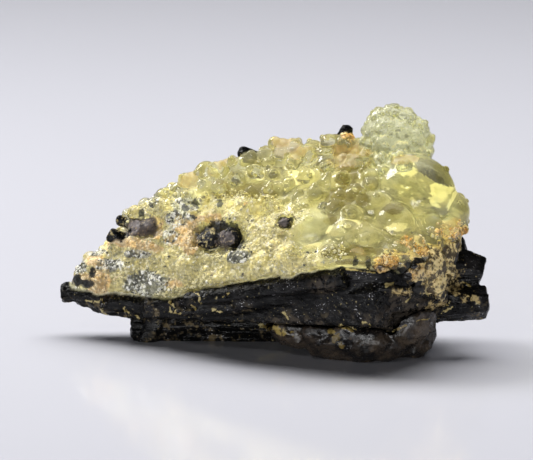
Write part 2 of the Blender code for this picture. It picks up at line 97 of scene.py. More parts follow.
# Beads in the front view: across, down and radius in picture units, and how much of the
# radius is sunk in the skin.
BEADS = (
    (134, 212, 8, 0.5), (149, 199, 10, 0.5), (163, 197, 10, 0.4), (178, 190, 9, 0.3),
    (191, 180, 9, 0.2), (206, 172, 12, 0.2), (222, 175, 10, 0.3), (234, 166, 10, 0.3),
    (249, 162, 11, 0.3), (264, 159, 10, 0.4), (281, 140, 11, -0.4), (282, 158, 9, 0.4),
    (296, 164, 10, 0.3), (297, 181, 10, 0.4), (301, 148, 9, 0.1), (314, 151, 12, 0.2),
    (329, 146, 9, 0.1), (327, 168, 14, 0.3), (344, 140, 12, 0.2), (241, 181, 10, 0.5),
    (257, 178, 10, 0.5), (272, 175, 10, 0.5), (280, 190, 10, 0.5), (226, 191, 10, 0.5),
    (209, 190, 11, 0.5), (194, 198, 10, 0.6), (312, 181, 10, 0.4), (317, 198, 11, 0.5),
    (339, 184, 13, 0.4), (356, 166, 12, 0.3), (362, 148, 10, 0.2), (371, 180, 12, 0.4),
    (354, 197, 12, 0.5), (334, 210, 11, 0.5), (381, 163, 11, 0.3), (396, 158, 11, 0.3),
    (413, 198, 43, 0.5), (449, 212, 20, 0.4), (372, 209, 18, 0.4), (391, 226, 22, 0.5),
    (429, 226, 12, 0.2), (446, 230, 11, 0.3), (460, 227, 8, 0.3),
    (414, 243, 9, 0.3), (312, 233, 25, 0.55), (345, 236, 16, 0.5), (364, 241, 15, 0.5),
    (304, 208, 12, 0.6), (270, 208, 13, 0.6), (248, 206, 12, 0.6), (222, 212, 12, 0.7),
    (172, 214, 12, 0.6), (276, 249, 11, 0.6), (116, 246, 9, 0.4), (92, 268, 9, 0.4),
    (160, 284, 12, 0.6), (128, 270, 13, 0.7), (330, 255, 12, 0.5), (396, 252, 12, 0.5),
)
SWELLS = (
    ((150, 222, 300, 272), 26, (12.0, 18.0), 0.66),
    ((96, 232, 168, 282), 12, (11.0, 15.0), 0.66),
    ((286, 150, 400, 250), 26, (10.0, 15.0), 0.5),
    ((180, 185, 300, 225), 18, (10.0, 14.0), 0.45),
)
SWELL_SEED = 5
SWELL_SPACING = 0.62
KNOB_CENTRE, KNOB_RADIUS = (13.0, 6.2, 21.6), 3.6
KNOB_BEADS = (
    (377, 114, 11, 0.1), (393, 111, 11, 0.1), (408, 117, 9, 0.1), (420, 127, 9, 0.1),
    (427, 140, 9, 0.1), (428, 154, 9, 0.1), (385, 128, 10, 0.2), (400, 131, 10, 0.2),
    (413, 141, 10, 0.2), (415, 156, 10, 0.2), (371, 130, 9, 0.1), (368, 144, 9, 0.1),
    (385, 145, 10, 0.2), (399, 149, 10, 0.2),
)
KNOB_BACK_BEADS = 6
KNOB_BACK_RADIUS = 1.05
BACK_BEADS = 26
BACK_BEAD_RADII = (0.8, 1.4)
BACK_ALONG = (-16.0, 18.5)
BACK_TILTS = (15.0, 80.0)
BACK_SUNK = 0.6
BACK_SPACING = 0.7
BACK_CENTRE = (5.0, 10.0)
BACK_SEED = 11

# Where the black mass shows through the crust: across, down, and half sizes.
WINDOW_SINK = 1.0
WINDOWS = ((218, 236, 23, 14), (284, 223, 7, 6), (291, 219, 3, 3), (139, 226, 18, 11))

# Spots of colour in the front view: across, down, half width, half height.
TAN_SPOTS = (
    (98, 282, 13, 12), (122, 242, 22, 6), (146, 247, 16, 6), (158, 226, 6, 16), (186, 228, 13, 9),
    (176, 240, 12, 7), (80, 278, 10, 7), (92, 262, 10, 5), (192, 244, 8, 10), (208, 218, 15, 5),
    (176, 284, 12, 4), (350, 152, 18, 8), (344, 162, 14, 7), (222, 162, 8, 8),
    (300, 152, 9, 8), (282, 139, 9, 9), (354, 250, 7, 3), (405, 160, 14, 5), (190, 180, 8, 8),
)
AMBER_SPOTS = (
    (408, 242, 13, 7), (450, 229, 17, 9), (384, 264, 13, 10), (412, 268, 13, 8), (420, 250, 8, 5),
    (245, 204, 2, 2), (348, 134, 8, 6), (199, 238, 3, 5), (236, 150, 5, 3),
)
GREY_SPOTS = (
    (146, 284, 22, 13), (78, 268, 8, 9), (110, 266, 14, 7), (152, 196, 7, 12), (178, 218, 14, 8),
    (138, 254, 14, 5), (170, 236, 8, 10), (238, 256, 12, 6), (186, 204, 14, 8), (92, 250, 9, 6),
)
SUGAR_SPOTS = (
    (150, 262, 70, 34), (230, 262, 90, 26), (170, 226, 60, 24), (110, 258, 40, 40),
    (200, 236, 60, 30), (270, 230, 34, 24), (230, 210, 50, 14), (300, 262, 30, 8),
)
PALE_SPOTS = ((397, 135, 46, 40), (312, 232, 26, 20), (440, 212, 14, 16))
SMOOTH_SPOTS = (
    (410, 205, 34, 36), (312, 233, 26, 18), (447, 212, 16, 20), (350, 264, 34, 10), (152, 288, 8, 6),
)
BERRY_SPOTS = (
    (200, 186, 50, 20), (262, 176, 60, 28), (322, 170, 56, 34), (346, 196, 34, 24), (380, 166, 34, 14),
    (436, 232, 22, 10), (400, 250, 24, 10), (290, 204, 30, 12), (360, 232, 26, 14),
)
ROUNDED_SPOTS = (
    (112, 228, 16, 14), (64, 288, 12, 12), (333, 193, 14, 12), (244, 150, 16, 9), (347, 128, 8, 8),
)
# Painted light: patches where light focused and reflected inside the beads is drawn into the colour.
PAINTED_LIGHT_SPOTS = (
    (428, 190, 5, 13), (414, 178, 8, 8), (393, 227, 8, 3), (262, 180, 4, 4), (297, 181, 5, 5),
    (330, 233, 7, 3), (232, 176, 5, 4), (352, 226, 8, 4), (240, 262, 12, 4), (296, 263, 16, 5),
    (440, 200, 5, 7), (312, 246, 12, 3),
)
DEEP_SPOTS = (
    (346, 200, 22, 12), (352, 176, 16, 9), (256, 196, 22, 8), (358, 158, 20, 9), (352, 253, 26, 6),
    (446, 170, 14, 12), (222, 196, 14, 7), (330, 222, 8, 5), (392, 214, 9, 6),
)
SMOKY_SPOTS = ((225, 240, 8, 10), (141, 228, 17, 10), (152, 221, 5, 8), (283, 223, 5, 4))
INKY_SPOTS = (
    (210, 238, 13, 13), (236, 238, 7, 14), (222, 228, 14, 7), (284, 223, 7, 6), (291, 219, 2.5, 2.5),
    (108, 232, 6, 8), (115, 221, 9, 5), (75, 281, 5, 6), (86, 284, 6, 4), (91, 273, 3, 5),
    (196, 204, 4, 5), (185, 208, 4, 4), (220, 203, 3, 4), (366, 265, 3, 6), (353, 262, 2.5, 4),
    (140, 213, 3, 4), (399, 269, 6, 3.5), (408, 265, 6, 3.5), (416, 260, 6, 3.5),
)
DRUSE_AMBER = ((384, 265, 14, 10), (412, 270, 12, 8), (448, 232, 10, 8))
DRUSE_GAPS = ((410, 290, 12, 9), (428, 304, 14, 7), (448, 300, 9, 10), (404, 276, 6, 4), (456, 262, 4, 9))
BROWNISH_SPOTS = ((408, 303, 26, 13), (384, 318, 24, 8), (296, 322, 34, 6), (322, 284, 10, 8))
LACE_SPOTS = (
    (446, 280, 18, 18), (434, 303, 14, 6), (402, 291, 10, 5), (468, 298, 11, 6), (462, 284, 6, 5),
)

# Where the glass keeps all its faces, because small dark marks need them.
SMALL_MARKS = (
    (366, 265, 6, 9), (353, 262, 6, 8), (284, 223, 11, 9), (108, 232, 9, 10), (115, 221, 11, 7),
    (196, 204, 6, 7), (185, 208, 6, 6), (220, 203, 5, 6), (450, 229, 18, 11), (138, 226, 20, 13),
    (222, 236, 26, 17), (408, 266, 16, 10),
)

# How each mask is drawn: its spots, how ragged its edge is, and how fine that edge is.
MASKS = {
    "sugar": (SUGAR_SPOTS, 0.3, 0.35),
    "tan": (TAN_SPOTS, 0.6, 0.6),
    "grey": (GREY_SPOTS, 0.4, 0.6),
    "pale": (PALE_SPOTS, 0.2, 0.3),
    "smooth": (SMOOTH_SPOTS, 0.1, 0.3),
    "berry": (BERRY_SPOTS, 0.2, 0.3),
    "painted_light": (PAINTED_LIGHT_SPOTS, 0.5, 1.2),
    "deep": (DEEP_SPOTS, 0.5, 0.6),
    "amber": (AMBER_SPOTS, 0.4, 0.8),
    "smoky": (SMOKY_SPOTS, 0.4, 1.2),
    "inky": (INKY_SPOTS, 0.4, 1.4),
    "dark": (SMOKY_SPOTS + INKY_SPOTS + WINDOWS, 0.3, 1.0),
    "dip": (WINDOWS, 0.3, 1.0),
    "opening": (WINDOWS + INKY_SPOTS, 0.5, 1.0),
    "smoky core": (SMOKY_SPOTS, 0.5, 1.0),
    "brownish": (BROWNISH_SPOTS, 0.5, 0.6),
    "lace": (LACE_SPOTS, 0.5, 0.6),
    "wet druse": (DRUSE_AMBER, 0.4, 0.8),
    "druse gaps": (INKY_SPOTS + DRUSE_GAPS, 0.4, 1.4),
    "small marks": (SMALL_MARKS, 0.2, 1.0),
}

# Threads of ochre in the front view: both ends, and their width in picture units.
OCHRE_LINES = (
    ((171, 293), (170, 312), 2.0), ((170, 312), (181, 313), 2.2), ((173, 305), (177, 313), 2.0),
    ((180, 291), (190, 289), 1.6), ((190, 289), (199, 294), 1.8), ((199, 294), (201, 303), 2.0),
    ((84, 301), (97, 303), 2.6), ((99, 299), (103, 305), 2.0), ((123, 309), (128, 314), 3.5),
    ((134, 316), (138, 319), 2.2), ((100, 310), (104, 316), 3.0), ((118, 298), (123, 290), 2.0),
    ((192, 305), (196, 309), 2.5), ((222, 297), (232, 291), 1.8), ((213, 309), (222, 312), 2.4),
    ((283, 312), (288, 318), 3.0), ((262, 326), (290, 332), 6.0), ((330, 330), (340, 345), 6.0),
    ((340, 324), (352, 330), 5.0), ((362, 320), (368, 324), 3.0), ((392, 330), (404, 324), 2.0),
    ((416, 319), (428, 317), 1.6), ((384, 284), (392, 282), 3.0), ((405, 300), (412, 290), 2.0),
    ((420, 290), (430, 296), 2.5), ((436, 296), (446, 304), 4.0), ((428, 262), (436, 290), 5.0),
    ((440, 312), (452, 306), 2.0), ((462, 282), (470, 286), 2.5), ((466, 296), (476, 302), 3.0),
    ((372, 272), (345, 268), 2.0),
)
LINE_WEIGHT = 0.7
LACE_STRENGTH = 0.52

# What the bead scatter is given, and of what kind.
SCATTER_INPUTS = {
    "Geometry": "Geometry", "Spacing": "Float", "Density": "Float", "Smallest": "Float", "Largest": "Float",
    "Skew": "Float", "Sunk": "Float", "Seed": "Int", "Balls": "Int", "Carrier": "Bool", "Mask": "String",
    "Finish": "Material",
}

# Beads and berries over the crust's large shapes: the mask they grow in, how far apart they
# stand, their smallest and largest radius, the share sunk, a seed and how round they are.
BERRIES = (
    ("berry", 2.1, (0.5, 0.95), 0.1, 3, 4),
    ("berry", 1.3, (0.25, 0.45), 0.1, 4, 3),
    ("knobby", 0.85, (0.35, 0.6), 0.45, 8, 3),
    ("sugary", 0.9, (0.3, 0.55), 0.6, 6, 3),
)
KNOB_REACH = 5.4

# How fine the skins are drawn that melt a piece into one.
BASE_GRAIN = 0.26
GLASS_GRAIN = 0.125
COPY_GRAIN = 0.2
FOOT_GRAIN = 0.18
DRUSE_GRAIN = 0.11

# Where the front view's colours fade out towards the back, the heel that is roughest, and
# how deep under the glass the dark openings still show.
BACK_EDGE, BACK_FADE = 10.4, 2.0
HEEL_FRONT, HEEL_TOP = 5.0, 6.5
HEEL_ROUGHNESS = 2.0
CORE_DEPTH = 2.4

# How far inside the top corner of the CAD box the pieces stay, in metres.
BOX_MARGIN = 0.00002

# How much each mineral and the table bend light, and how rough clear opal is.
OPAL_IOR = 1.45
TOURMALINE_IOR = 1.63
QUARTZ_IOR = 1.55
TABLE_IOR = 1.45
OPAL_ROUGHNESS = 0.03

# Dark and light grain of the stains on the glass, on the sugary grains and on the black mass.
DEEP_GLASS = ((0.46, 0.42, 0.22), (0.66, 0.62, 0.38))
GREY_GLASS = ((0.22, 0.22, 0.18), (0.99, 0.98, 0.91))
TAN_GLASS = ((0.80, 0.61, 0.35), (0.97, 0.82, 0.54))
AMBER_GLASS = ((0.72, 0.48, 0.20), (0.97, 0.80, 0.54))
INKY_GLASS = ((0.008, 0.009, 0.010), (0.05, 0.055, 0.06))
SMOKY_GLASS = ((0.20, 0.17, 0.165), (0.32, 0.29, 0.29))
TAN_GRAINS = ((0.82, 0.63, 0.35), (0.97, 0.81, 0.52))
GREY_GRAINS = ((0.13, 0.13, 0.11), (0.98, 0.97, 0.90))
AMBER_GRAINS = ((0.72, 0.43, 0.12), (0.96, 0.77, 0.42))
LACE = ((0.12, 0.08, 0.03), (0.50, 0.38, 0.17))
GREY_COAT = ((0.24, 0.25, 0.24), (0.88, 0.88, 0.84))
SMOKY_CORE = ((0.08, 0.07, 0.068), (0.17, 0.145, 0.14))
OCHRE_DUST = ((0.16, 0.11, 0.03), (0.46, 0.34, 0.10))

# The table in metres: its front edge, where it starts to sweep up, how round and in how
# many steps, and the top and half width of the backdrop.
TABLE_FRONT, SWEEP_START, SWEEP_RADIUS, SWEEP_STEPS = -0.9, 0.35, 0.4, 12
BACKDROP_TOP, TABLE_HALF_WIDTH = 1.6, 1.6

# Lamps in metres: place, target, width and depth, watts, colour, and whether they show
# as a mirror image in glass and gloss.
STONE = (0.0, 0.0, 0.01)
LAMPS = {
    "key": ((-0.27, 0.15, 0.31), (0.0, -0.12, 0.01), (0.18, 0.16), 1.35, (1.0, 0.99, 0.97), True),
    "overhead": ((0.02, 0.13, 0.36), (0.0, -0.10, 0.01), (0.50, 0.22), 2.4, (1.0, 0.99, 0.98), False),
    "front_card": ((-0.12, -0.60, 0.035), STONE, (0.70, 0.06), 1.35, (1.0, 1.0, 1.0), True),
    "sparkle": ((-0.13, -0.32, 0.30), STONE, (0.05, 0.035), 0.09, (1.0, 1.0, 1.0), True),
}
ROOM_COLOUR, ROOM_STRENGTH = (0.80, 0.84, 1.0, 1.0), 0.02

# The camera, in millimetres: what it looks at, how far away it stands, and how wide its
# sensor and its view there are.
CAMERA_AIM = (-0.91, 2.745, 12.91)
CAMERA_AWAY = 500.0
SENSOR_WIDTH = 36.0
VIEW_WIDTH = 57.3


def to_front(points):
    """Places of points in the front view, in picture units: across and down."""
    across = ORIGIN_ACROSS + points[:, 0] / UNIT
    down = ORIGIN_DOWN - (points[:, 1] * UP.y + points[:, 2] * UP.z) / UNIT
    return across, down


def spot_mask(points, spots, ragged, scale=0.5):
    """How far each point lies within any of the spots, 1 inside and 0 outside."""
    across, down = to_front(points)
    places = [Vector(p) * scale for p in points]
    warp = np.array([noise.noise(place) + 0.6 * noise.noise(place * 3.1) for place in places])
    best = np.full(len(points), 9.0)
    for a, d, half_width, half_height in spots:
        away = np.hypot((across - a) / half_width, (down - d) / half_height)
        best = np.minimum(best, away)
    return np.clip((1.35 - best - ragged * warp) / 0.7, 0.0, 1.0)


def drawn_mask(points, name):
    """One of the masks of the table, at these points."""
    return spot_mask(points, *MASKS[name])


def points_of(mesh):
    flat = np.empty(len(mesh.vertices) * 3, dtype=np.float64)
    mesh.vertices.foreach_get("co", flat)
    return flat.reshape(-1, 3)


def normals_of(mesh):
    flat = np.empty(len(mesh.vertices) * 3, dtype=np.float64)
    mesh.vertices.foreach_get("normal", flat)
    return flat.reshape(-1, 3)


def set_points(mesh, points):
    mesh.vertices.foreach_set("co", points.astype(np.float64).ravel())
    mesh.update()


def set_mask(mesh, name, values):
    layer = mesh.attributes.new(name, "FLOAT", "POINT")
    layer.data.foreach_set("value", np.asarray(values, dtype=np.float32))


def set_drawn_masks(mesh, names, weight=1.0):
    """Writes masks of the table on the mesh under their own names."""
    points = points_of(mesh)
    for name in names:
        set_mask(mesh, name, drawn_mask(points, name) * weight)


def neighbours_of(mesh):
    """The two ends of every edge, and how many edges meet at each point."""
    edges = np.empty(len(mesh.edges) * 2, dtype=np.int64)
    mesh.edges.foreach_get("vertices", edges)
    one, two = edges.reshape(-1, 2).T
    count = np.bincount(np.concatenate((one, two)), minlength=len(mesh.vertices))
    return one, two, np.maximum(count, 1)


def averaged(values, one, two, count):
    """Each point's value replaced with the mean over its neighbours."""
    total = np.zeros_like(values)
    if values.ndim == 1:
        total += np.bincount(one, values[two], len(values)) + np.bincount(two, values[one], len(values))
        return total / count
    for axis in range(values.shape[1]):
        total[:, axis] = averaged(values[:, axis], one, two, count)
    return total


def creases(mesh, rounds, low, high):
    """1 in the creases between beads, 0 on their tops."""
    one, two, count = neighbours_of(mesh)
    points, normals = points_of(mesh), normals_of(mesh)
    inward = ((averaged(points, one, two, count) - points) * normals).sum(1)
    length = np.linalg.norm(points[one] - points[two], axis=1).mean()
    hollow = inward / length
    for _ in range(rounds):
        hollow = averaged(hollow, one, two, count)
    return np.clip((hollow - low) / (high - low), 0.0, 1.0)


def new_object(name, mesh):
    obj = bpy.data.objects.new(name, mesh)
    bpy.context.scene.collection.objects.link(obj)
    return obj


def mesh_from(name, bm):
    bmesh.ops.recalc_face_normals(bm, faces=bm.faces)
    mesh = bpy.data.meshes.new(name)
    bm.to_mesh(mesh)
    bm.free()
    return mesh


def applied(obj):
    """Replaces an object's mesh with what its modifiers make of it."""
    graph = bpy.context.evaluated_depsgraph_get()
    mesh = bpy.data.meshes.new_from_object(obj.evaluated_get(graph))
    obj.modifiers.clear()
    old = obj.data
    obj.data = mesh
    bpy.data.meshes.remove(old)
    return obj


def remeshed(obj, grain, smoothing=0, strength=0.5):
    """One closed skin over everything in the object, at a grain size in millimetres."""
    remesh = obj.modifiers.new("melt", "REMESH")
    remesh.mode = "VOXEL"
    remesh.voxel_size = grain
    if smoothing:
        smooth = obj.modifiers.new("smooth", "SMOOTH")
        smooth.iterations = smoothing
        smooth.factor = strength
    return applied(obj)


def thinned(obj, most, kept):
    """Takes faces away where the surface is flattest, but none where kept is 1."""
    now = sum(len(polygon.vertices) - 2 for polygon in obj.data.polygons)
    if now <= most:
        return
    group = obj.vertex_groups.new(name="free")
    group.add(np.flatnonzero(kept < 0.5).tolist(), 1.0, "REPLACE")
    thin = obj.modifiers.new("thin", "DECIMATE")
    thin.ratio = most / now
    thin.vertex_group = "free"
    applied(obj)
    obj.vertex_groups.clear()


def tree_of(mesh):
    bm = bmesh.new()
    bm.from_mesh(mesh)
    tree = BVHTree.FromBMesh(bm)
    bm.free()
    return tree


def crust_ring(x, lip, ridge, underside):
    """The crust's outer skin at a station. Its hidden side lies inside the black mass."""
    size = (ridge[1] - underside) / FULL_HEIGHT
    low, high = Vector(lip), Vector(ridge)
    along = high - low
    out = Vector((-along.y, along.x)).normalized()
    places = ((0.0, 0.0), (0.34, FACE_BULGE), (0.7, FACE_BULGE), (1.0, 0.0))
    outside = [low + along * share + out * bulge for share, bulge in places]
    back = high + Vector((2.8, -2.0)) * size + Vector((0.3, 0.0))
    edge = high + Vector((3.0, -6.2)) * size + Vector((0.2, 0.0))
    deep = (low + edge) / 2 + Vector((0.0, -0.6)) * size
    under = low + Vector((1.6, -1.1)) * size
    return [(x, p.x, p.y) for p in (*outside, back, edge, deep, under)]


def add_skin(bm):
    """The crust's plain skin through the stations, closed to a point at each end."""
    rings = [crust_ring(*station) for station in STATIONS]
    loops = [[bm.verts.new(p) for p in ring] for ring in rings]
    faces = []
    for one, two in zip(loops, loops[1:]):
        for i in range(len(one)):
            j = (i + 1) % len(one)
            faces.append(bm.faces.new((one[i], one[j], two[j], two[i])))
    for loop, tip in ((loops[0], LEFT_TIP), (loops[-1], RIGHT_TIP)):
        point = bm.verts.new(tip)
        for i in range(len(loop)):
            faces.append(bm.faces.new((loop[i], loop[(i + 1) % len(loop)], point)))
    bmesh.ops.triangulate(bm, faces=faces)


def add_ball(bm, centre, radius, detail=3):
    bmesh.ops.create_icosphere(bm, subdivisions=detail, radius=radius, matrix=Matrix.Translation(centre))


def from_front(surface, across, down):
    """Where the front view's point lies on the surface, or beside it on the outline."""
    on_plane = Vector(((across - ORIGIN_ACROSS) * UNIT, 0.0, 0.0)) + UP * (ORIGIN_DOWN - down) * UNIT
    hit = surface.ray_cast(on_plane - LOOK * EYE_BACK, LOOK)[0]
    if hit is None:
        beside = surface.find_nearest(on_plane)[0]
        hit = (on_plane + LOOK * (beside - on_plane).dot(LOOK)).lerp(beside, 0.5)
    return hit


def large_beads(surface):
    """Centres and radii of the beads and swells that make the crust's large shapes."""
    placed = []
    taken = []
    for across, down, units, sunk in BEADS:
        place = from_front(surface, across, down)
        placed.append((place + LOOK * sunk * units * UNIT, units * UNIT))
        taken.append((across, down, units))
    draw = random.Random(SWELL_SEED)
    for box, count, radii, sunk in SWELLS:
        for _ in range(count):
            across, down = draw.uniform(box[0], box[2]), draw.uniform(box[1], box[3])
            units = draw.uniform(*radii)
            apart = [math.hypot(across - a, down - d) / (units + r) for a, d, r in taken]
            if min(apart) > SWELL_SPACING:
                taken.append((across, down, units))
                place = from_front(surface, across, down)
                placed.append((place + LOOK * sunk * units * UNIT, units * UNIT))
    return placed


def knob_beads():
    """Centres and radii of the pale knob and of the beads over it."""
    centre = Vector(KNOB_CENTRE)
    placed = [(centre, KNOB_RADIUS)]
    bm = bmesh.new()
    add_ball(bm, centre, KNOB_RADIUS)
    surface = BVHTree.FromBMesh(bm)
    bm.free()
    for across, down, units, sunk in KNOB_BEADS:
        radius = units * UNIT
        way = (from_front(surface, across, down) - centre).normalized()
        placed.append((centre + way * (KNOB_RADIUS - sunk * radius), radius))
    for i in range(KNOB_BACK_BEADS):
        angle = math.pi * (i - 0.5) / 4
        way = Vector((math.cos(angle), 0.9, math.sin(angle))).normalized()
        placed.append((centre + way * KNOB_RADIUS, KNOB_BACK_RADIUS))
    return placed


def back_beads(surface):
    """Centres and radii of beads over the ridge and the back."""
    draw = random.Random(BACK_SEED)
    placed, places = [], []
    while len(placed) < BACK_BEADS:
        x = draw.uniform(*BACK_ALONG)
        tilt = math.radians(draw.uniform(*BACK_TILTS))
        radius = draw.uniform(*BACK_BEAD_RADII)
        way = Vector((0.0, -math.cos(tilt), -math.sin(tilt)))
        hit = surface.ray_cast(Vector((x, *BACK_CENTRE)) - way * EYE_BACK, way)[0]
        if hit is None or any((hit - p).length < BACK_SPACING * (r + radius) for p, r in places):
            continue
        places.append((hit, radius))
        placed.append((hit + way * BACK_SUNK * radius, radius))
    return placed


def socket(node, name, output=False):
    """The node's enabled socket of that name."""
    for item in node.outputs if output else node.inputs:
        if item.name == name and item.enabled:
            return item
    raise KeyError(f"{node.name} has no socket {name}")


def bead_scatter_tree():
    """Geometry nodes: beads of chance size spread over a surface where its mask allows."""
    tree = bpy.data.node_groups.new("bead_scatter", "GeometryNodeTree")
    tree.is_modifier = True
    for label, kind in SCATTER_INPUTS.items():
        tree.interface.new_socket(label, in_out="INPUT", socket_type="NodeSocket" + kind)
    tree.interface.new_socket("Geometry", in_out="OUTPUT", socket_type="NodeSocketGeometry")
    given = add_node(tree, "NodeGroupInput").outputs
    named = {"data_type": "FLOAT"}
    allowed = made(tree, "GeometryNodeInputNamedAttribute", {"Name": given["Mask"]}, "Attribute", **named)
    spread = add_node(tree, "GeometryNodeDistributePointsOnFaces", distribute_method="POISSON")
    fed(tree, spread, {
        "Mesh": given["Geometry"],
        "Distance Min": given["Spacing"],
        "Density Max": given["Density"],
        "Density Factor": allowed,
        "Seed": given["Seed"],
    })
    chance = made(tree, "FunctionNodeRandomValue", {"Seed": given["Seed"]}, "Value", **named)
    sizes = {"To Min": given["Smallest"], "To Max": given["Largest"]}
    sizes["Value"] = math_node(tree, "POWER", chance, given["Skew"])
    sized = {"Geometry": spread.outputs["Points"], "Name": "bead_size"}
    sized["Value"] = made(tree, "ShaderNodeMapRange", sizes, "Result")
    points = made(tree, "GeometryNodeStoreNamedAttribute", sized, "Geometry", domain="POINT", **named)
    radius = made(tree, "GeometryNodeInputNamedAttribute", {"Name": "bead_size"}, "Attribute", **named)
    depth = math_node(tree, "MULTIPLY", math_node(tree, "MULTIPLY", radius, given["Sunk"]), -1.0)
    inward = {"Vector": spread.outputs["Normal"], "Scale": depth}
    sunk = {"Geometry": points}
    sunk["Offset"] = made(tree, "ShaderNodeVectorMath", inward, "Vector", operation="SCALE")
    placed = {"Points": made(tree, "GeometryNodeSetPosition", sunk, "Geometry"), "Scale": radius}
    ball = {"Radius": 1.0, "Subdivisions": given["Balls"]}
    placed["Instance"] = made(tree, "GeometryNodeMeshIcoSphere", ball, "Mesh")
    toned = {"Geometry": made(tree, "GeometryNodeInstanceOnPoints", placed, "Instances"), "Name": "tone"}
    toned["Value"] = made(tree, "FunctionNodeRandomValue", {}, "Value", **named)
    beads = made(tree, "GeometryNodeStoreNamedAttribute", toned, "Geometry", domain="INSTANCE", **named)
    beads = made(tree, "GeometryNodeRealizeInstances", {"Geometry": beads}, "Geometry")
    carried = {"Switch": given["Carrier"], "True": given["Geometry"]}
    carrier = made(tree, "GeometryNodeSwitch", carried, "Output", input_type="GEOMETRY")
    both = add_node(tree, "GeometryNodeJoinGeometry")
    tree.links.new(carrier, both.inputs["Geometry"])
    tree.links.new(beads, both.inputs["Geometry"])
    coated = {"Geometry": both.outputs["Geometry"], "Material": given["Finish"]}
    whole = made(tree, "GeometryNodeSetMaterial", coated, "Geometry")
    tree.links.new(whole, add_node(tree, "NodeGroupOutput").inputs["Geometry"])
    return tree


def scatter(obj, mask, spacing, radii, sunk, seed, finish, density=60.0, balls=3, skew=1.0, carrier=True):
    """Adds beads over the object where its mask is high, with or without the object itself."""
    tree = bpy.data.node_groups.get("bead_scatter") or bead_scatter_tree()
    modifier = obj.modifiers.new("scatter", "NODES")
    modifier.node_group = tree
    values = {
        "Spacing": spacing,
        "Density": density,
        "Smallest": radii[0],
        "Largest": radii[1],
        "Skew": skew,
        "Sunk": sunk,
        "Seed": seed,
        "Finish": finish,
        "Balls": balls,
        "Carrier": carrier,
        "Mask": mask,
    }
    for item in tree.interface.items_tree:
        if item.in_out == "INPUT" and item.name in values:
            modifier[item.identifier] = values[item.name]


def nodes_of(name):
    material = bpy.data.materials.new(name)
    material.use_nodes = True
    tree = material.node_tree
    shader = tree.nodes["Principled BSDF"]
    return material, tree, shader


def add_node(tree, kind, **facts):
    node = tree.nodes.new(kind)
    for key, value in facts.items():
        setattr(node, key, value)
    return node


def mask_node(tree, name):
    node = add_node(tree, "ShaderNodeAttribute", attribute_name=name)
    return node.outputs["Fac"]


def places_node(tree):
    return add_node(tree, "ShaderNodeTexCoord").outputs["Object"]


def noise_node(tree, vector, scale, detail=4.0, rough=0.55):
    values = {"Vector": vector, "Scale": scale, "Detail": detail, "Roughness": rough}
    return made(tree, "ShaderNodeTexNoise", values, "Fac")


def cells_node(tree, vector, scale):
    return made(tree, "ShaderNodeTexVoronoi", {"Vector": vector, "Scale": scale}, "Distance", feature="F1")


def ramp_node(tree, value, low, high, to_low=0.0, to_high=1.0):
    values = {"Value": value, "From Min": low, "From Max": high, "To Min": to_low, "To Max": to_high}
    return made(tree, "ShaderNodeMapRange", values, "Result", interpolation_type="SMOOTHSTEP")


def math_node(tree, operation, one, two):
    node = add_node(tree, "ShaderNodeMath", operation=operation)
    for slot, value in enumerate((one, two)):
        if isinstance(value, (int, float)):
            node.inputs[slot].default_value = value
        else:
            tree.links.new(value, node.inputs[slot])
    return node.outputs[0]


def fed(tree, node, values):
    """Sets or links the node's inputs by name: a number, a word, a colour or an output."""
    for name, value in values.items():
        target = socket(node, name)
        if isinstance(value, (int, float, str)):
            target.default_value = value
        elif isinstance(value, tuple):
            target.default_value = (*value, 1.0)
        else:
            tree.links.new(value, target)
    return node


def made(tree, kind, values, output, **facts):
    """One output of a new node, made with these facts and fed these values."""
    return socket(fed(tree, add_node(tree, kind, **facts), values), output, True)


def mix_colours(tree, share, one, two):
    return made(tree, "ShaderNodeMix", {"Factor": share, "A": one, "B": two}, "Result", data_type="RGBA")


def blended(tree, value, low, high, one, two):
    """One colour where the value is low, the other where it is high."""
    return mix_colours(tree, ramp_node(tree, value, low, high), one, two)


def mix_values(tree, share, one, two):
    return made(tree, "ShaderNodeMix", {"Factor": share, "A": one, "B": two}, "Result", data_type="FLOAT")


def bump_node(tree, height, strength, distance, normal=None):
    values = {"Height": height, "Strength": strength, "Distance": distance}
    if normal is not None:
        values["Normal"] = normal
    return made(tree, "ShaderNodeBump", values, "Normal")


def torn(tree, mask, torn_by, tear):
    """A mask torn by a noise, before it is given an edge."""
    shift = math_node(tree, "MULTIPLY", math_node(tree, "SUBTRACT", torn_by, 0.5), tear)
    return math_node(tree, "ADD", mask, shift)


def new_group(name, colours, numbers):
    """An empty shader node group with those inputs, and a colour as its output."""
    group = bpy.data.node_groups.new(name, "ShaderNodeTree")
    for label in colours:
        group.interface.new_socket(label, in_out="INPUT", socket_type="NodeSocketColor")
    for label in numbers:
        group.interface.new_socket(label, in_out="INPUT", socket_type="NodeSocketFloat")
    group.interface.new_socket("Result", in_out="OUTPUT", socket_type="NodeSocketColor")
    return group, group.nodes.new("NodeGroupInput").outputs, group.nodes.new("NodeGroupOutput").inputs


def torn_stain_group():
    """Lays a stain over a colour where the mask, torn by a noise, is high."""
    group, given, result = new_group("torn_stain", ("Colour", "Stain"), ("Mask", "Torn By", "Tear"))
    share = ramp_node(group, torn(group, given["Mask"], given["Torn By"], given["Tear"]), 0.38, 0.62)
    group.links.new(mix_colours(group, share, given["Colour"], given["Stain"]), result["Result"])
    return group


def two_tone_group():
    """Parts a noise into a dark and a light colour."""
    group, given, result = new_group("two_tone", ("Dark", "Light"), ("Noise",))
    share = ramp_node(group, given["Noise"], 0.4, 0.6)
    group.links.new(mix_colours(group, share, given["Dark"], given["Light"]), result["Result"])
    return group


def placed_group(tree, name, maker, values):
    node = tree.nodes.new("ShaderNodeGroup")
    node.node_tree = bpy.data.node_groups.get(name) or maker()
    return fed(tree, node, values).outputs["Result"]


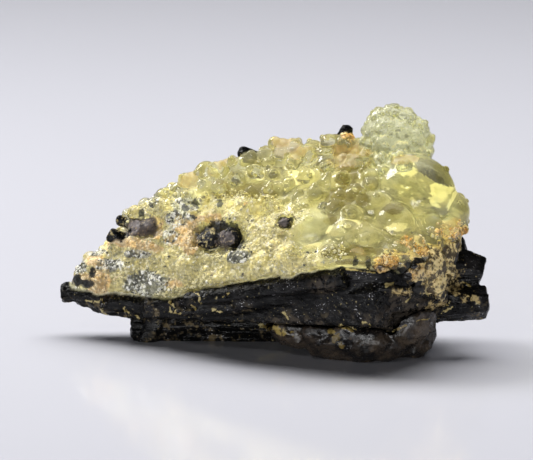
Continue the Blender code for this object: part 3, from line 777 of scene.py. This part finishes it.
def ragged(tree, colour, mask, torn_by, tear, stain):
    values = {"Colour": colour, "Stain": stain, "Mask": mask, "Torn By": torn_by, "Tear": tear}
    return placed_group(tree, "torn_stain", torn_stain_group, values)


def grained(tree, grain, dark, light):
    values = {"Noise": grain, "Dark": dark, "Light": light}
    return placed_group(tree, "two_tone", two_tone_group, values)


def stained(tree, colour, stains):
    """Lays stains over a colour in turn: mask, what tears it and how far, grain, and tones."""
    for name, torn_by, tear, grain, tones in stains:
        stain = grained(tree, grain, *tones)
        colour = ragged(tree, colour, mask_node(tree, name), torn_by, tear, stain)
    return colour


def hyalite_material():
    """Clear yellow-green opal, cloudy and sugary where its masks say so, with painted shade in its creases
    and painted light in its beads.
    """
    material, tree, shader = nodes_of("hyalite")
    place = places_node(tree)
    sugar, tan, pale = (mask_node(tree, name) for name in ("sugar", "tan", "pale"))
    crease, smoky, inky = (mask_node(tree, name) for name in ("crease", "smoky", "inky"))
    drift = noise_node(tree, place, 420.0, 5.0, 0.6)
    patches = noise_node(tree, place, 760.0, 4.0, 0.65)
    specks = noise_node(tree, place, 2600.0, 3.0, 0.6)
    clear = blended(tree, drift, 0.35, 0.65, (0.70, 0.66, 0.44), (0.85, 0.82, 0.62))
    muddy = ramp_node(tree, patches, 0.50, 0.66, 0.0, 0.55)
    clear = mix_colours(tree, muddy, clear, (0.50, 0.44, 0.24))
    clear = mix_colours(tree, pale, clear, (0.79, 0.79, 0.64))
    sugary = blended(tree, specks, 0.40, 0.60, (0.74, 0.68, 0.40), (0.98, 0.92, 0.66))
    colour = mix_colours(tree, ramp_node(tree, sugar, 0.2, 0.9, 0.0, 0.8), clear, sugary)
    # Painted shade: the creases between beads are darkened to olive, less so on the pale knob.
    painted_crease_shade = math_node(tree, "MULTIPLY", crease, ramp_node(tree, pale, 0.0, 1.0, 0.6, 0.15))
    colour = mix_colours(tree, painted_crease_shade, colour, (0.42, 0.40, 0.22))
    colour = stained(tree, colour, [("deep", drift, 0.9, drift, DEEP_GLASS)])
    # Painted light: paler patches in the glass stand in for light focused and reflected inside the beads.
    colour = ragged(tree, colour, mask_node(tree, "painted_light"), drift, 1.8, (0.86, 0.80, 0.58))
    colour = stained(tree, colour, [
        ("grey", specks, 0.9, patches, GREY_GLASS),
        ("tan", drift, 1.6, specks, TAN_GLASS),
        ("amber", drift, 1.2, drift, AMBER_GLASS),
        ("inky", specks, 2.2, specks, INKY_GLASS),
        ("smoky", specks, 1.6, drift, SMOKY_GLASS),
    ])
    tree.links.new(colour, shader.inputs["Base Color"])
    dark = math_node(tree, "MAXIMUM", inky, smoky)
    frosted = (
        (tan, 0.3, 0.9, 0.4), (pale, 0.2, 0.9, 0.2), (crease, 0.1, 0.55, 0.85), (dark, 0.2, 0.7, 0.5),
    )
    frost = ramp_node(tree, sugar, 0.2, 0.9, OPAL_ROUGHNESS, 0.3)
    for mask, low, high, rough in frosted:
        more = ramp_node(tree, mask, low, high, OPAL_ROUGHNESS, rough)
        frost = math_node(tree, "MAXIMUM", frost, more)
    tree.links.new(frost, shader.inputs["Roughness"])
    shader.inputs["IOR"].default_value = OPAL_IOR
    shader.inputs["Transmission Weight"].default_value = 0.8
    pores = cells_node(tree, place, 2300.0)
    fine = cells_node(tree, place, 5200.0)
    strength = ramp_node(tree, sugar, 0.1, 0.9, 0.05, 0.4)
    normal = bump_node(tree, pores, strength, 0.00012)
    normal = bump_node(tree, fine, strength, 0.00005, normal)
    tree.links.new(normal, shader.inputs["Normal"])
    depth = add_node(tree, "ShaderNodeVolumeAbsorption")
    depth.inputs["Color"].default_value = (0.84, 0.86, 0.42, 1.0)
    depth.inputs["Density"].default_value = 110.0
    tree.links.new(depth.outputs["Volume"], tree.nodes["Material Output"].inputs["Volume"])
    rays = add_node(tree, "ShaderNodeLightPath")
    thin = add_node(tree, "ShaderNodeBsdfTransparent")
    thin.inputs["Color"].default_value = (0.82, 0.81, 0.64, 1.0)
    either = add_node(tree, "ShaderNodeMixShader")
    tree.links.new(rays.outputs["Is Shadow Ray"], either.inputs[0])
    tree.links.new(shader.outputs["BSDF"], either.inputs[1])
    tree.links.new(thin.outputs["BSDF"], either.inputs[2])
    tree.links.new(either.outputs["Shader"], tree.nodes["Material Output"].inputs["Surface"])
    return material


def schorl_material():
    """Black tourmaline: glossy, striated, with cream and ochre coats where its masks say so, painted
    highlights on the bare black, and painted light under the glass.
    """
    material, tree, shader = nodes_of("schorl")
    place = places_node(tree)
    stretched = add_node(tree, "ShaderNodeMapping")
    stretched.inputs["Scale"].default_value = (0.12, 1.0, 1.0)
    stretched.inputs["Rotation"].default_value = (0.0, 0.12, -0.3)
    tree.links.new(place, stretched.inputs["Vector"])
    lines = noise_node(tree, stretched.outputs["Vector"], 2200.0, 3.0, 0.6)
    broad = noise_node(tree, place, 380.0, 6.0, 0.62)
    chips = noise_node(tree, place, 1300.0, 4.0, 0.6)
    black = blended(tree, broad, 0.45, 0.7, (0.003, 0.003, 0.003), (0.014, 0.013, 0.013))
    # Painted highlights: grey flecks along the striations stand in for glints of light.
    painted_glint = ramp_node(tree, math_node(tree, "MULTIPLY", lines, chips), 0.36, 0.44)
    black = mix_colours(tree, math_node(tree, "MULTIPLY", painted_glint, 0.12), black, (0.12, 0.12, 0.12))
    dusty = ramp_node(tree, chips, 0.52, 0.60)
    dusty = math_node(tree, "MULTIPLY", dusty, ramp_node(tree, broad, 0.46, 0.58))
    dusty = math_node(tree, "MULTIPLY", dusty, mask_node(tree, "low"))
    black = mix_colours(tree, dusty, black, (0.17, 0.13, 0.07))
    brown = math_node(tree, "MULTIPLY", mask_node(tree, "brownish"), ramp_node(tree, chips, 0.42, 0.58))
    black = mix_colours(tree, brown, black, (0.060, 0.048, 0.036))
    fine = noise_node(tree, place, 2600.0, 3.0, 0.6)
    ochre = ramp_node(tree, torn(tree, mask_node(tree, "ochre"), fine, 3.2), 0.62, 0.85)
    shade = blended(tree, chips, 0.4, 0.6, (0.22, 0.16, 0.04), (0.52, 0.43, 0.20))
    black = mix_colours(tree, ochre, black, shade)
    black = stained(tree, black, [("lace", chips, 1.7, fine, LACE)])
    under, tan, grey = (mask_node(tree, name) for name in ("under", "tan", "grey"))
    cream = blended(tree, broad, 0.38, 0.62, (0.20, 0.19, 0.10), (0.50, 0.47, 0.30))
    cream = blended(tree, chips, 0.58, 0.66, cream, (0.86, 0.82, 0.62))
    cream = mix_colours(tree, mask_node(tree, "sugar"), cream, (0.92, 0.88, 0.64))
    dark = math_node(tree, "MULTIPLY", ramp_node(tree, chips, 0.41, 0.33), ramp_node(tree, broad, 0.56, 0.44))
    cream = mix_colours(tree, math_node(tree, "MULTIPLY", dark, 0.85), cream, (0.03, 0.03, 0.03))
    grey_share = ramp_node(tree, grey, 0.3, 0.8, 0.0, 0.8)
    cream = mix_colours(tree, grey_share, cream, grained(tree, fine, *GREY_COAT))
    warm = blended(tree, chips, 0.4, 0.6, (0.56, 0.42, 0.24), (0.78, 0.64, 0.42))
    cream = mix_colours(tree, ramp_node(tree, tan, 0.3, 0.8, 0.0, 0.9), cream, warm)
    cream = ragged(tree, cream, mask_node(tree, "deep"), chips, 1.2, (0.20, 0.17, 0.06))
    # Painted light: near-white patches on the coat under the glass stand in for light focused through the
    # beads.
    cream = ragged(tree, cream, mask_node(tree, "painted_light"), chips, 2.0, (1.0, 0.94, 0.74))
    colour = mix_colours(tree, under, black, cream)
    speckled = blended(tree, fine, 0.55, 0.62, (0.010, 0.010, 0.011), (0.40, 0.33, 0.16))
    colour = ragged(tree, colour, mask_node(tree, "window"), fine, 2.6, speckled)
    smoky = grained(tree, chips, *SMOKY_CORE)
    smoky = mix_colours(tree, ramp_node(tree, fine, 0.58, 0.64, 0.0, 0.8), smoky, (0.40, 0.31, 0.19))
    colour = ragged(tree, colour, mask_node(tree, "smoky"), fine, 1.8, smoky)
    # Painted highlights: tiny pale flecks on the bare black stand in for sparkling glints of light.
    glint_noise = noise_node(tree, place, 5200.0, 2.0, 0.5)
    painted_glints = ramp_node(tree, glint_noise, 0.66, 0.72)
    painted_glints = math_node(tree, "MULTIPLY", painted_glints, ramp_node(tree, broad, 0.52, 0.6))
    painted_glints = math_node(tree, "MULTIPLY", painted_glints, math_node(tree, "SUBTRACT", 1.0, under))
    colour = mix_colours(tree, painted_glints, colour, (0.6, 0.6, 0.62))
    tree.links.new(colour, shader.inputs["Base Color"])
    gloss = ramp_node(tree, chips, 0.35, 0.65, 0.14, 0.42)
    dull = mix_values(tree, under, gloss, 0.7)
    tree.links.new(dull, shader.inputs["Roughness"])
    shader.inputs["IOR"].default_value = TOURMALINE_IOR
    shader.inputs["Specular IOR Level"].default_value = 0.13
    bare = ramp_node(tree, under, 0.0, 1.0, 0.8, 0.05)
    normal = bump_node(tree, lines, bare, 0.00025)
    normal = bump_node(tree, chips, 0.5, 0.0002, normal)
    tree.links.new(normal, shader.inputs["Normal"])
    return material


def grain_material():
    """Sugary grains of opal: cream and white, some olive, grey or dark."""
    material, tree, shader = nodes_of("sugary_opal")
    place = places_node(tree)
    tone = mask_node(tree, "tone")
    drift = noise_node(tree, place, 900.0, 3.0, 0.6)
    lumps = ramp_node(tree, noise_node(tree, place, 560.0, 3.0, 0.6), 0.40, 0.58)
    olive = mix_colours(tree, lumps, (0.58, 0.52, 0.24), (0.96, 0.88, 0.50))
    colour = mix_colours(tree, ramp_node(tree, tone, 0.3, 0.9, 0.0, 0.6), olive, (0.94, 0.87, 0.57))
    colour = blended(tree, tone, 0.88, 0.97, colour, (0.97, 0.94, 0.78))
    patches = noise_node(tree, place, 1000.0, 3.0, 0.6)
    colour = mix_colours(tree, ramp_node(tree, patches, 0.40, 0.30, 0.0, 0.8), colour, (0.78, 0.64, 0.40))
    colour = mix_colours(tree, ramp_node(tree, patches, 0.60, 0.70, 0.0, 0.8), colour, (0.42, 0.43, 0.34))
    colour = stained(tree, colour, [
        ("tan", drift, 1.2, tone, TAN_GRAINS),
        ("grey", drift, 1.2, tone, GREY_GRAINS),
        ("amber", drift, 1.0, tone, AMBER_GRAINS),
    ])
    dark = math_node(tree, "MULTIPLY", ramp_node(tree, tone, 0.16, 0.10), ramp_node(tree, drift, 0.48, 0.60))
    colour = mix_colours(tree, dark, colour, (0.10, 0.10, 0.08))
    dots = noise_node(tree, place, 2600.0, 2.0, 0.6)
    colour = mix_colours(tree, ramp_node(tree, dots, 0.44, 0.34, 0.0, 0.7), colour, (0.34, 0.31, 0.17))
    tree.links.new(colour, shader.inputs["Base Color"])
    shader.inputs["Roughness"].default_value = 0.55
    shader.inputs["IOR"].default_value = OPAL_IOR
    shader.inputs["Specular IOR Level"].default_value = 0.25
    pits = noise_node(tree, place, 6000.0, 2.0, 0.5)
    tree.links.new(bump_node(tree, pits, 0.4, 0.00005), shader.inputs["Normal"])
    return material


def foot_material():
    """Dark smoky quartz, glossy on broken faces, with ochre dust along drawn threads."""
    material, tree, shader = nodes_of("smoky_quartz")
    place = places_node(tree)
    broad = noise_node(tree, place, 420.0, 5.0, 0.6)
    chips = noise_node(tree, place, 1500.0, 4.0, 0.65)
    brown = blended(tree, broad, 0.4, 0.68, (0.008, 0.007, 0.007), (0.085, 0.062, 0.042))
    brown = mix_colours(tree, ramp_node(tree, chips, 0.6, 0.72, 0.0, 0.6), brown, (0.22, 0.16, 0.11))
    ochre = ramp_node(tree, torn(tree, mask_node(tree, "ochre"), chips, 3.4), 0.6, 0.85)
    colour = mix_colours(tree, ochre, brown, grained(tree, broad, *OCHRE_DUST))
    tree.links.new(colour, shader.inputs["Base Color"])
    tree.links.new(ramp_node(tree, chips, 0.35, 0.65, 0.16, 0.5), shader.inputs["Roughness"])
    shader.inputs["IOR"].default_value = QUARTZ_IOR
    normal = bump_node(tree, broad, 0.6, 0.0005)
    normal = bump_node(tree, chips, 0.5, 0.0002, normal)
    tree.links.new(normal, shader.inputs["Normal"])
    return material


def druse_material():
    """Tan sugary grains stained by iron, wet-looking amber in places."""
    material, tree, shader = nodes_of("druse")
    place = places_node(tree)
    broad = noise_node(tree, place, 480.0, 4.0, 0.6)
    grains = cells_node(tree, place, 3000.0)
    tones = blended(tree, broad, 0.4, 0.6, (0.22, 0.13, 0.03), (0.62, 0.45, 0.16))
    tones = blended(tree, grains, 0.2, 0.5, tones, (0.82, 0.66, 0.32))
    amber = mask_node(tree, "amber")
    wet = blended(tree, broad, 0.42, 0.58, (0.50, 0.26, 0.05), (0.80, 0.60, 0.28))
    colour = mix_colours(tree, amber, tones, wet)
    dark = ramp_node(tree, noise_node(tree, place, 900.0, 5.0, 0.7), 0.54, 0.45, 0.0, 0.95)
    colour = mix_colours(tree, dark, colour, (0.05, 0.035, 0.02))
    gaps = noise_node(tree, place, 1300.0)
    colour = ragged(tree, colour, mask_node(tree, "inky"), gaps, 2.0, (0.012, 0.011, 0.010))
    tree.links.new(colour, shader.inputs["Base Color"])
    tree.links.new(mix_values(tree, amber, 0.55, 0.12), shader.inputs["Roughness"])
    normal = bump_node(tree, grains, 0.6, 0.0001)
    tree.links.new(normal, shader.inputs["Normal"])
    return material


def in_metres(obj):
    """Moves a finished piece over the origin, in metres, and keeps it inside the CAD box."""
    low, high = (np.array(corner) for corner in CAD_BOX)
    points = (points_of(obj.data) + np.array(SHIFT)) * METRES
    set_points(obj.data, np.clip(points, low, high - BOX_MARGIN))
    for polygon in obj.data.polygons:
        polygon.use_smooth = True


def finished(obj, material, node):
    in_metres(obj)
    obj.data.materials.clear()
    obj.data.materials.append(material)
    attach(obj, "root")
    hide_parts(node)


def hyalite_masks(mesh):
    """Masks of the glass's colours, its painted crease shade and painted light among them. The last five end
    short of the back.
    """
    front = np.clip((BACK_EDGE - points_of(mesh)[:, 1]) / BACK_FADE, 0.0, 1.0)
    set_mask(mesh, "crease", creases(mesh, 2, 0.0, 0.3))
    set_drawn_masks(mesh, ("sugar", "tan", "grey", "pale"))
    set_drawn_masks(mesh, ("painted_light", "deep", "amber", "smoky", "inky"), front)


def crust_skin_mesh():
    bm = bmesh.new()
    add_skin(bm)
    return mesh_from("plain_skin", bm)


def crust_base(name):
    """The crust's skin with its large beads, melted into one."""
    surface = tree_of(crust_skin_mesh())
    bm = bmesh.new()
    add_skin(bm)
    for centre, radius in large_beads(surface) + knob_beads() + back_beads(surface):
        add_ball(bm, centre, radius, 4 if radius > 1.5 else 3)
    return remeshed(new_object(name, mesh_from(name, bm)), BASE_GRAIN, 1)


def crust_fields(mesh):
    """Masks over the crust that say where berries, knob beads and sugary grains grow."""
    points = points_of(mesh)
    facing = normals_of(mesh) @ np.array(LOOK)
    names = ("sugar", "amber", "berry", "smooth", "dark")
    sugar, amber, berry, smooth, dark = (drawn_mask(points, name) for name in names)
    bare = np.clip(1.0 - 3.0 * dark, 0.0, 1.0) * (1.0 - smooth)
    away = np.clip(facing * 3.0 + 0.2, 0.0, 1.0)
    knob = np.linalg.norm(points - np.array(KNOB_CENTRE), axis=1) < KNOB_REACH
    set_mask(mesh, "berry", np.maximum(berry * bare, 0.5 * away * (1.0 - knob)))
    set_mask(mesh, "knobby", knob * 1.0)
    set_mask(mesh, "sugary", np.clip(sugar * 1.3 + amber, 0.0, 1.0) * bare * (facing < 0.1))


def sunk_at_windows(mesh):
    """Lowers the glass where black crystals come through it."""
    points = points_of(mesh)
    low = drawn_mask(points, "dip") * facing_front(mesh)
    set_points(mesh, points - normals_of(mesh) * (low * WINDOW_SINK)[:, None])


def hyalite(base, finish):
    """The glassy crust: its base with beads and berries of several sizes, melted into one."""
    obj = new_object("hyalite_opal", base.data.copy())
    for mask, spacing, radii, sunk, seed, balls in BERRIES:
        scatter(obj, mask, spacing, radii, sunk, seed, finish, balls=balls)
    remeshed(obj, GLASS_GRAIN, 1, 0.4)
    thinned(obj, MOST_TRIANGLES, drawn_mask(points_of(obj.data), "small marks"))
    sunk_at_windows(obj.data)
    hyalite_masks(obj.data)
    return obj


def sugar_grains(base, finish):
    """Sugary grains and small lumps, fused to the lower and left part of the crust."""
    obj = new_object("opal_grains", base.data.copy())
    scatter(obj, "sugary", 0.18, (0.09, 0.27), 0.45, 5, finish, 260.0, balls=1, skew=3.0, carrier=False)
    applied(obj)
    set_drawn_masks(obj.data, ("tan", "grey", "amber"))
    return obj


def copy_of_node(node, name):
    """A closed copy of a CAD node, in millimetres, where the stone was before it was moved."""
    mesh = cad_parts[node].data.copy()
    bm = bmesh.new()
    bm.from_mesh(mesh)
    bmesh.ops.remove_doubles(bm, verts=bm.verts, dist=1e-6)
    bmesh.ops.transform(bm, matrix=Matrix.Translation(-SHIFT) @ Matrix.Scale(1 / METRES, 4), verts=bm.verts)
    obj = new_object(name, mesh_from(name, bm))
    bpy.data.meshes.remove(mesh)
    return obj


def roughened(mesh, along, amplitude, scale, seed, weight=1.0):
    """Pushes points in and out by noise drawn out along X, and by broken facets."""
    points, normals = points_of(mesh), normals_of(mesh)
    offset = Vector((seed * 7.3, seed * 3.1, seed * 5.7))
    push = np.empty(len(points))
    for i, p in enumerate(points):
        place = Vector((p[0] * along, p[1], p[2])) * scale + offset
        ridges = noise.ridged_multi_fractal(place, 1.0, 2.0, 3, 1.0, 2.0)
        chips = noise.noise(Vector(p) * scale * 0.6 + offset)
        push[i] = 0.5 * (ridges - 1.2) + 0.9 * chips
    resting = points[:, 2] < 0.02
    push[resting] = 0.0
    moved = points + normals * (push * amplitude * weight)[:, None]
    moved[:, 2] = np.maximum(moved[:, 2], 0.0)
    set_points(mesh, moved)


def line_mask(points, lines, ragged=0.5):
    """How near each point lies to any of the lines of the front view."""
    across, down = to_front(points)
    best = np.full(len(points), 9.0)
    for (a0, d0), (a1, d1), width in lines:
        way = np.array((a1 - a0, d1 - d0))
        share = ((across - a0) * way[0] + (down - d0) * way[1]) / max(way @ way, 1e-6)
        share = np.clip(share, 0.0, 1.0)
        away = np.hypot(across - a0 - share * way[0], down - d0 - share * way[1]) / (width * LINE_WEIGHT)
        best = np.minimum(best, away)
    warp = np.array([noise.noise(Vector(p) * 1.3) for p in points])
    return np.clip((1.3 - best - ragged * warp) / 1.0, 0.0, 1.0)


def facing_front(mesh):
    """1 where a face looks to the front view's side, 0 where it looks away."""
    return np.clip(0.5 - 3.0 * (normals_of(mesh) @ np.array(LOOK)), 0.0, 1.0)


def soften(mesh, spots, rounds):
    """Rounds off what lies in the spots of the front view."""
    points = points_of(mesh)
    weight = spot_mask(points, spots, 0.0)[:, None]
    links = neighbours_of(mesh)
    for _ in range(rounds):
        points += weight * 0.6 * (averaged(points, *links) - points)
    set_points(mesh, points)


def schorl(skin_surface):
    """The black mass: a finer copy of the CAD node, striated and chipped."""
    obj = copy_of_node("schorl_matrix", "black_tourmaline")
    remeshed(obj, COPY_GRAIN)
    mesh = obj.data
    soften(mesh, ROUNDED_SPOTS, 9)
    points = points_of(mesh)
    behind = np.clip((points[:, 1] - HEEL_FRONT) / 3.0, 0.0, 1.0)
    heel = behind * np.clip((HEEL_TOP - points[:, 2]) / 2.0, 0.0, 1.0)
    roughened(mesh, 0.16, 0.16, 1.5, 1, 1.0 + HEEL_ROUGHNESS * heel)
    black_masks(mesh, skin_surface)
    return obj


def black_masks(mesh, skin_surface):
    """Masks of the black mass: what the crust covers, and the stains on what shows."""
    points = points_of(mesh)
    inside = np.empty(len(points))
    for i, p in enumerate(points):
        place, normal, _, _ = skin_surface.find_nearest(Vector(p))
        inside[i] = -(Vector(p) - place).dot(normal)
    warp = np.array([noise.noise(Vector(p) * 0.9) for p in points])
    front = facing_front(mesh)
    set_mask(mesh, "under", np.clip((inside + 0.3 + 0.12 * warp) / 0.12, 0.0, 1.0))
    set_mask(mesh, "window", drawn_mask(points, "opening") * (inside < CORE_DEPTH))
    set_mask(mesh, "smoky", drawn_mask(points, "smoky core") * front)
    set_mask(mesh, "ochre", line_mask(points, OCHRE_LINES) * front)
    set_mask(mesh, "low", np.clip((7.0 - points[:, 2]) / 4.0, 0.0, 1.0))
    set_drawn_masks(mesh, ("sugar", "tan", "grey"))
    # The first of these marks the painted light on the coat under the glass.
    set_drawn_masks(mesh, ("painted_light", "deep", "brownish"), front)
    set_drawn_masks(mesh, ("lace",), LACE_STRENGTH * front)


def foot():
    """The dark foot: a finer copy of the CAD node, broken and rough."""
    obj = copy_of_node("smoky_quartz_foot", "smoky_quartz")
    remeshed(obj, FOOT_GRAIN)
    roughened(obj.data, 1.0, 0.32, 0.9, 2)
    points = points_of(obj.data)
    set_mask(obj.data, "ochre", line_mask(points, OCHRE_LINES) * facing_front(obj.data))
    return obj


def druse(finish):
    """The tan patch: a finer copy of the CAD node with small beads melted to it."""
    obj = copy_of_node("iron_stained_druse", "sugary_druse")
    remeshed(obj, COPY_GRAIN)
    set_mask(obj.data, "grains", np.ones(len(obj.data.vertices)))
    scatter(obj, "grains", 0.45, (0.2, 0.42), 0.35, 2, finish, balls=2)
    remeshed(obj, DRUSE_GRAIN, 1, 0.4)
    points = points_of(obj.data)
    set_mask(obj.data, "amber", drawn_mask(points, "wet druse"))
    set_mask(obj.data, "inky", drawn_mask(points, "druse gaps"))
    return obj


def floor_material():
    material, tree, shader = nodes_of("table")
    place = places_node(tree)
    haze = noise_node(tree, place, 6.0, 2.0, 0.5)
    colour = mix_colours(tree, haze, (0.57, 0.575, 0.63), (0.60, 0.605, 0.66))
    tree.links.new(colour, shader.inputs["Base Color"])
    shader.inputs["Roughness"].default_value = 0.12
    shader.inputs["IOR"].default_value = TABLE_IOR
    return material


def table():
    """A pale table that sweeps up into the backdrop."""
    profile = [(TABLE_FRONT, 0.0), (SWEEP_START, 0.0)]
    for step in range(1, SWEEP_STEPS + 1):
        angle = math.pi / 2 * step / SWEEP_STEPS
        back = SWEEP_START + SWEEP_RADIUS * math.sin(angle)
        profile.append((back, SWEEP_RADIUS - SWEEP_RADIUS * math.cos(angle)))
    profile.append((SWEEP_START + SWEEP_RADIUS, BACKDROP_TOP))
    bm = bmesh.new()
    sides = (-TABLE_HALF_WIDTH, TABLE_HALF_WIDTH)
    rows = [[bm.verts.new((x, y, z)) for y, z in profile] for x in sides]
    for i in range(len(profile) - 1):
        bm.faces.new((rows[0][i], rows[1][i], rows[1][i + 1], rows[0][i + 1]))
    obj = new_object("table", mesh_from("table", bm))
    for polygon in obj.data.polygons:
        polygon.use_smooth = True
    obj.data.materials.append(floor_material())


def lamp(name, place, target, size, watts, colour, mirrored):
    light = bpy.data.lights.new(name, "AREA")
    light.shape = "RECTANGLE"
    light.size, light.size_y = size
    light.energy = watts
    light.color = colour
    obj = bpy.data.objects.new(name, light)
    bpy.context.scene.collection.objects.link(obj)
    obj.location = place
    obj.visible_glossy = mirrored
    obj.rotation_euler = (Vector(target) - Vector(place)).to_track_quat("-Z", "Y").to_euler()


def lights():
    for name, facts in LAMPS.items():
        lamp(name, *facts)
    world = bpy.data.worlds.new("studio")
    world.use_nodes = True
    background = world.node_tree.nodes["Background"]
    background.inputs["Color"].default_value = ROOM_COLOUR
    background.inputs["Strength"].default_value = ROOM_STRENGTH
    bpy.context.scene.world = world


def camera():
    aim = (Vector(CAMERA_AIM) + SHIFT) * METRES
    data = bpy.data.cameras.new("camera")
    data.lens = SENSOR_WIDTH * CAMERA_AWAY / VIEW_WIDTH
    data.clip_start = 0.01
    obj = bpy.data.objects.new("camera", data)
    bpy.context.scene.collection.objects.link(obj)
    obj.location = aim - LOOK * (CAMERA_AWAY * METRES)
    obj.rotation_euler = LOOK.to_track_quat("-Z", "Y").to_euler()
    bpy.context.scene.camera = obj


clear_glass, sugar_coat, tan_coat = hyalite_material(), grain_material(), druse_material()
base = crust_base("crust_base")
crust_fields(base.data)
opal = hyalite(base, clear_glass)
grains = sugar_grains(base, sugar_coat)
bpy.data.objects.remove(base)
black = schorl(tree_of(opal.data))
brown = foot()
tan = druse(tan_coat)
finished(opal, clear_glass, "hyalite_crust")
finished(grains, sugar_coat, "hyalite_crust")
finished(black, schorl_material(), "schorl_matrix")
finished(brown, foot_material(), "smoky_quartz_foot")
finished(tan, tan_coat, "iron_stained_druse")
table()
lights()
camera()
scene = bpy.context.scene
scene.view_settings.view_transform = "Standard"
scene.cycles.use_denoising = True
scene.cycles.max_bounces = 14
scene.cycles.transmission_bounces = 10
scene.cycles.volume_bounces = 0
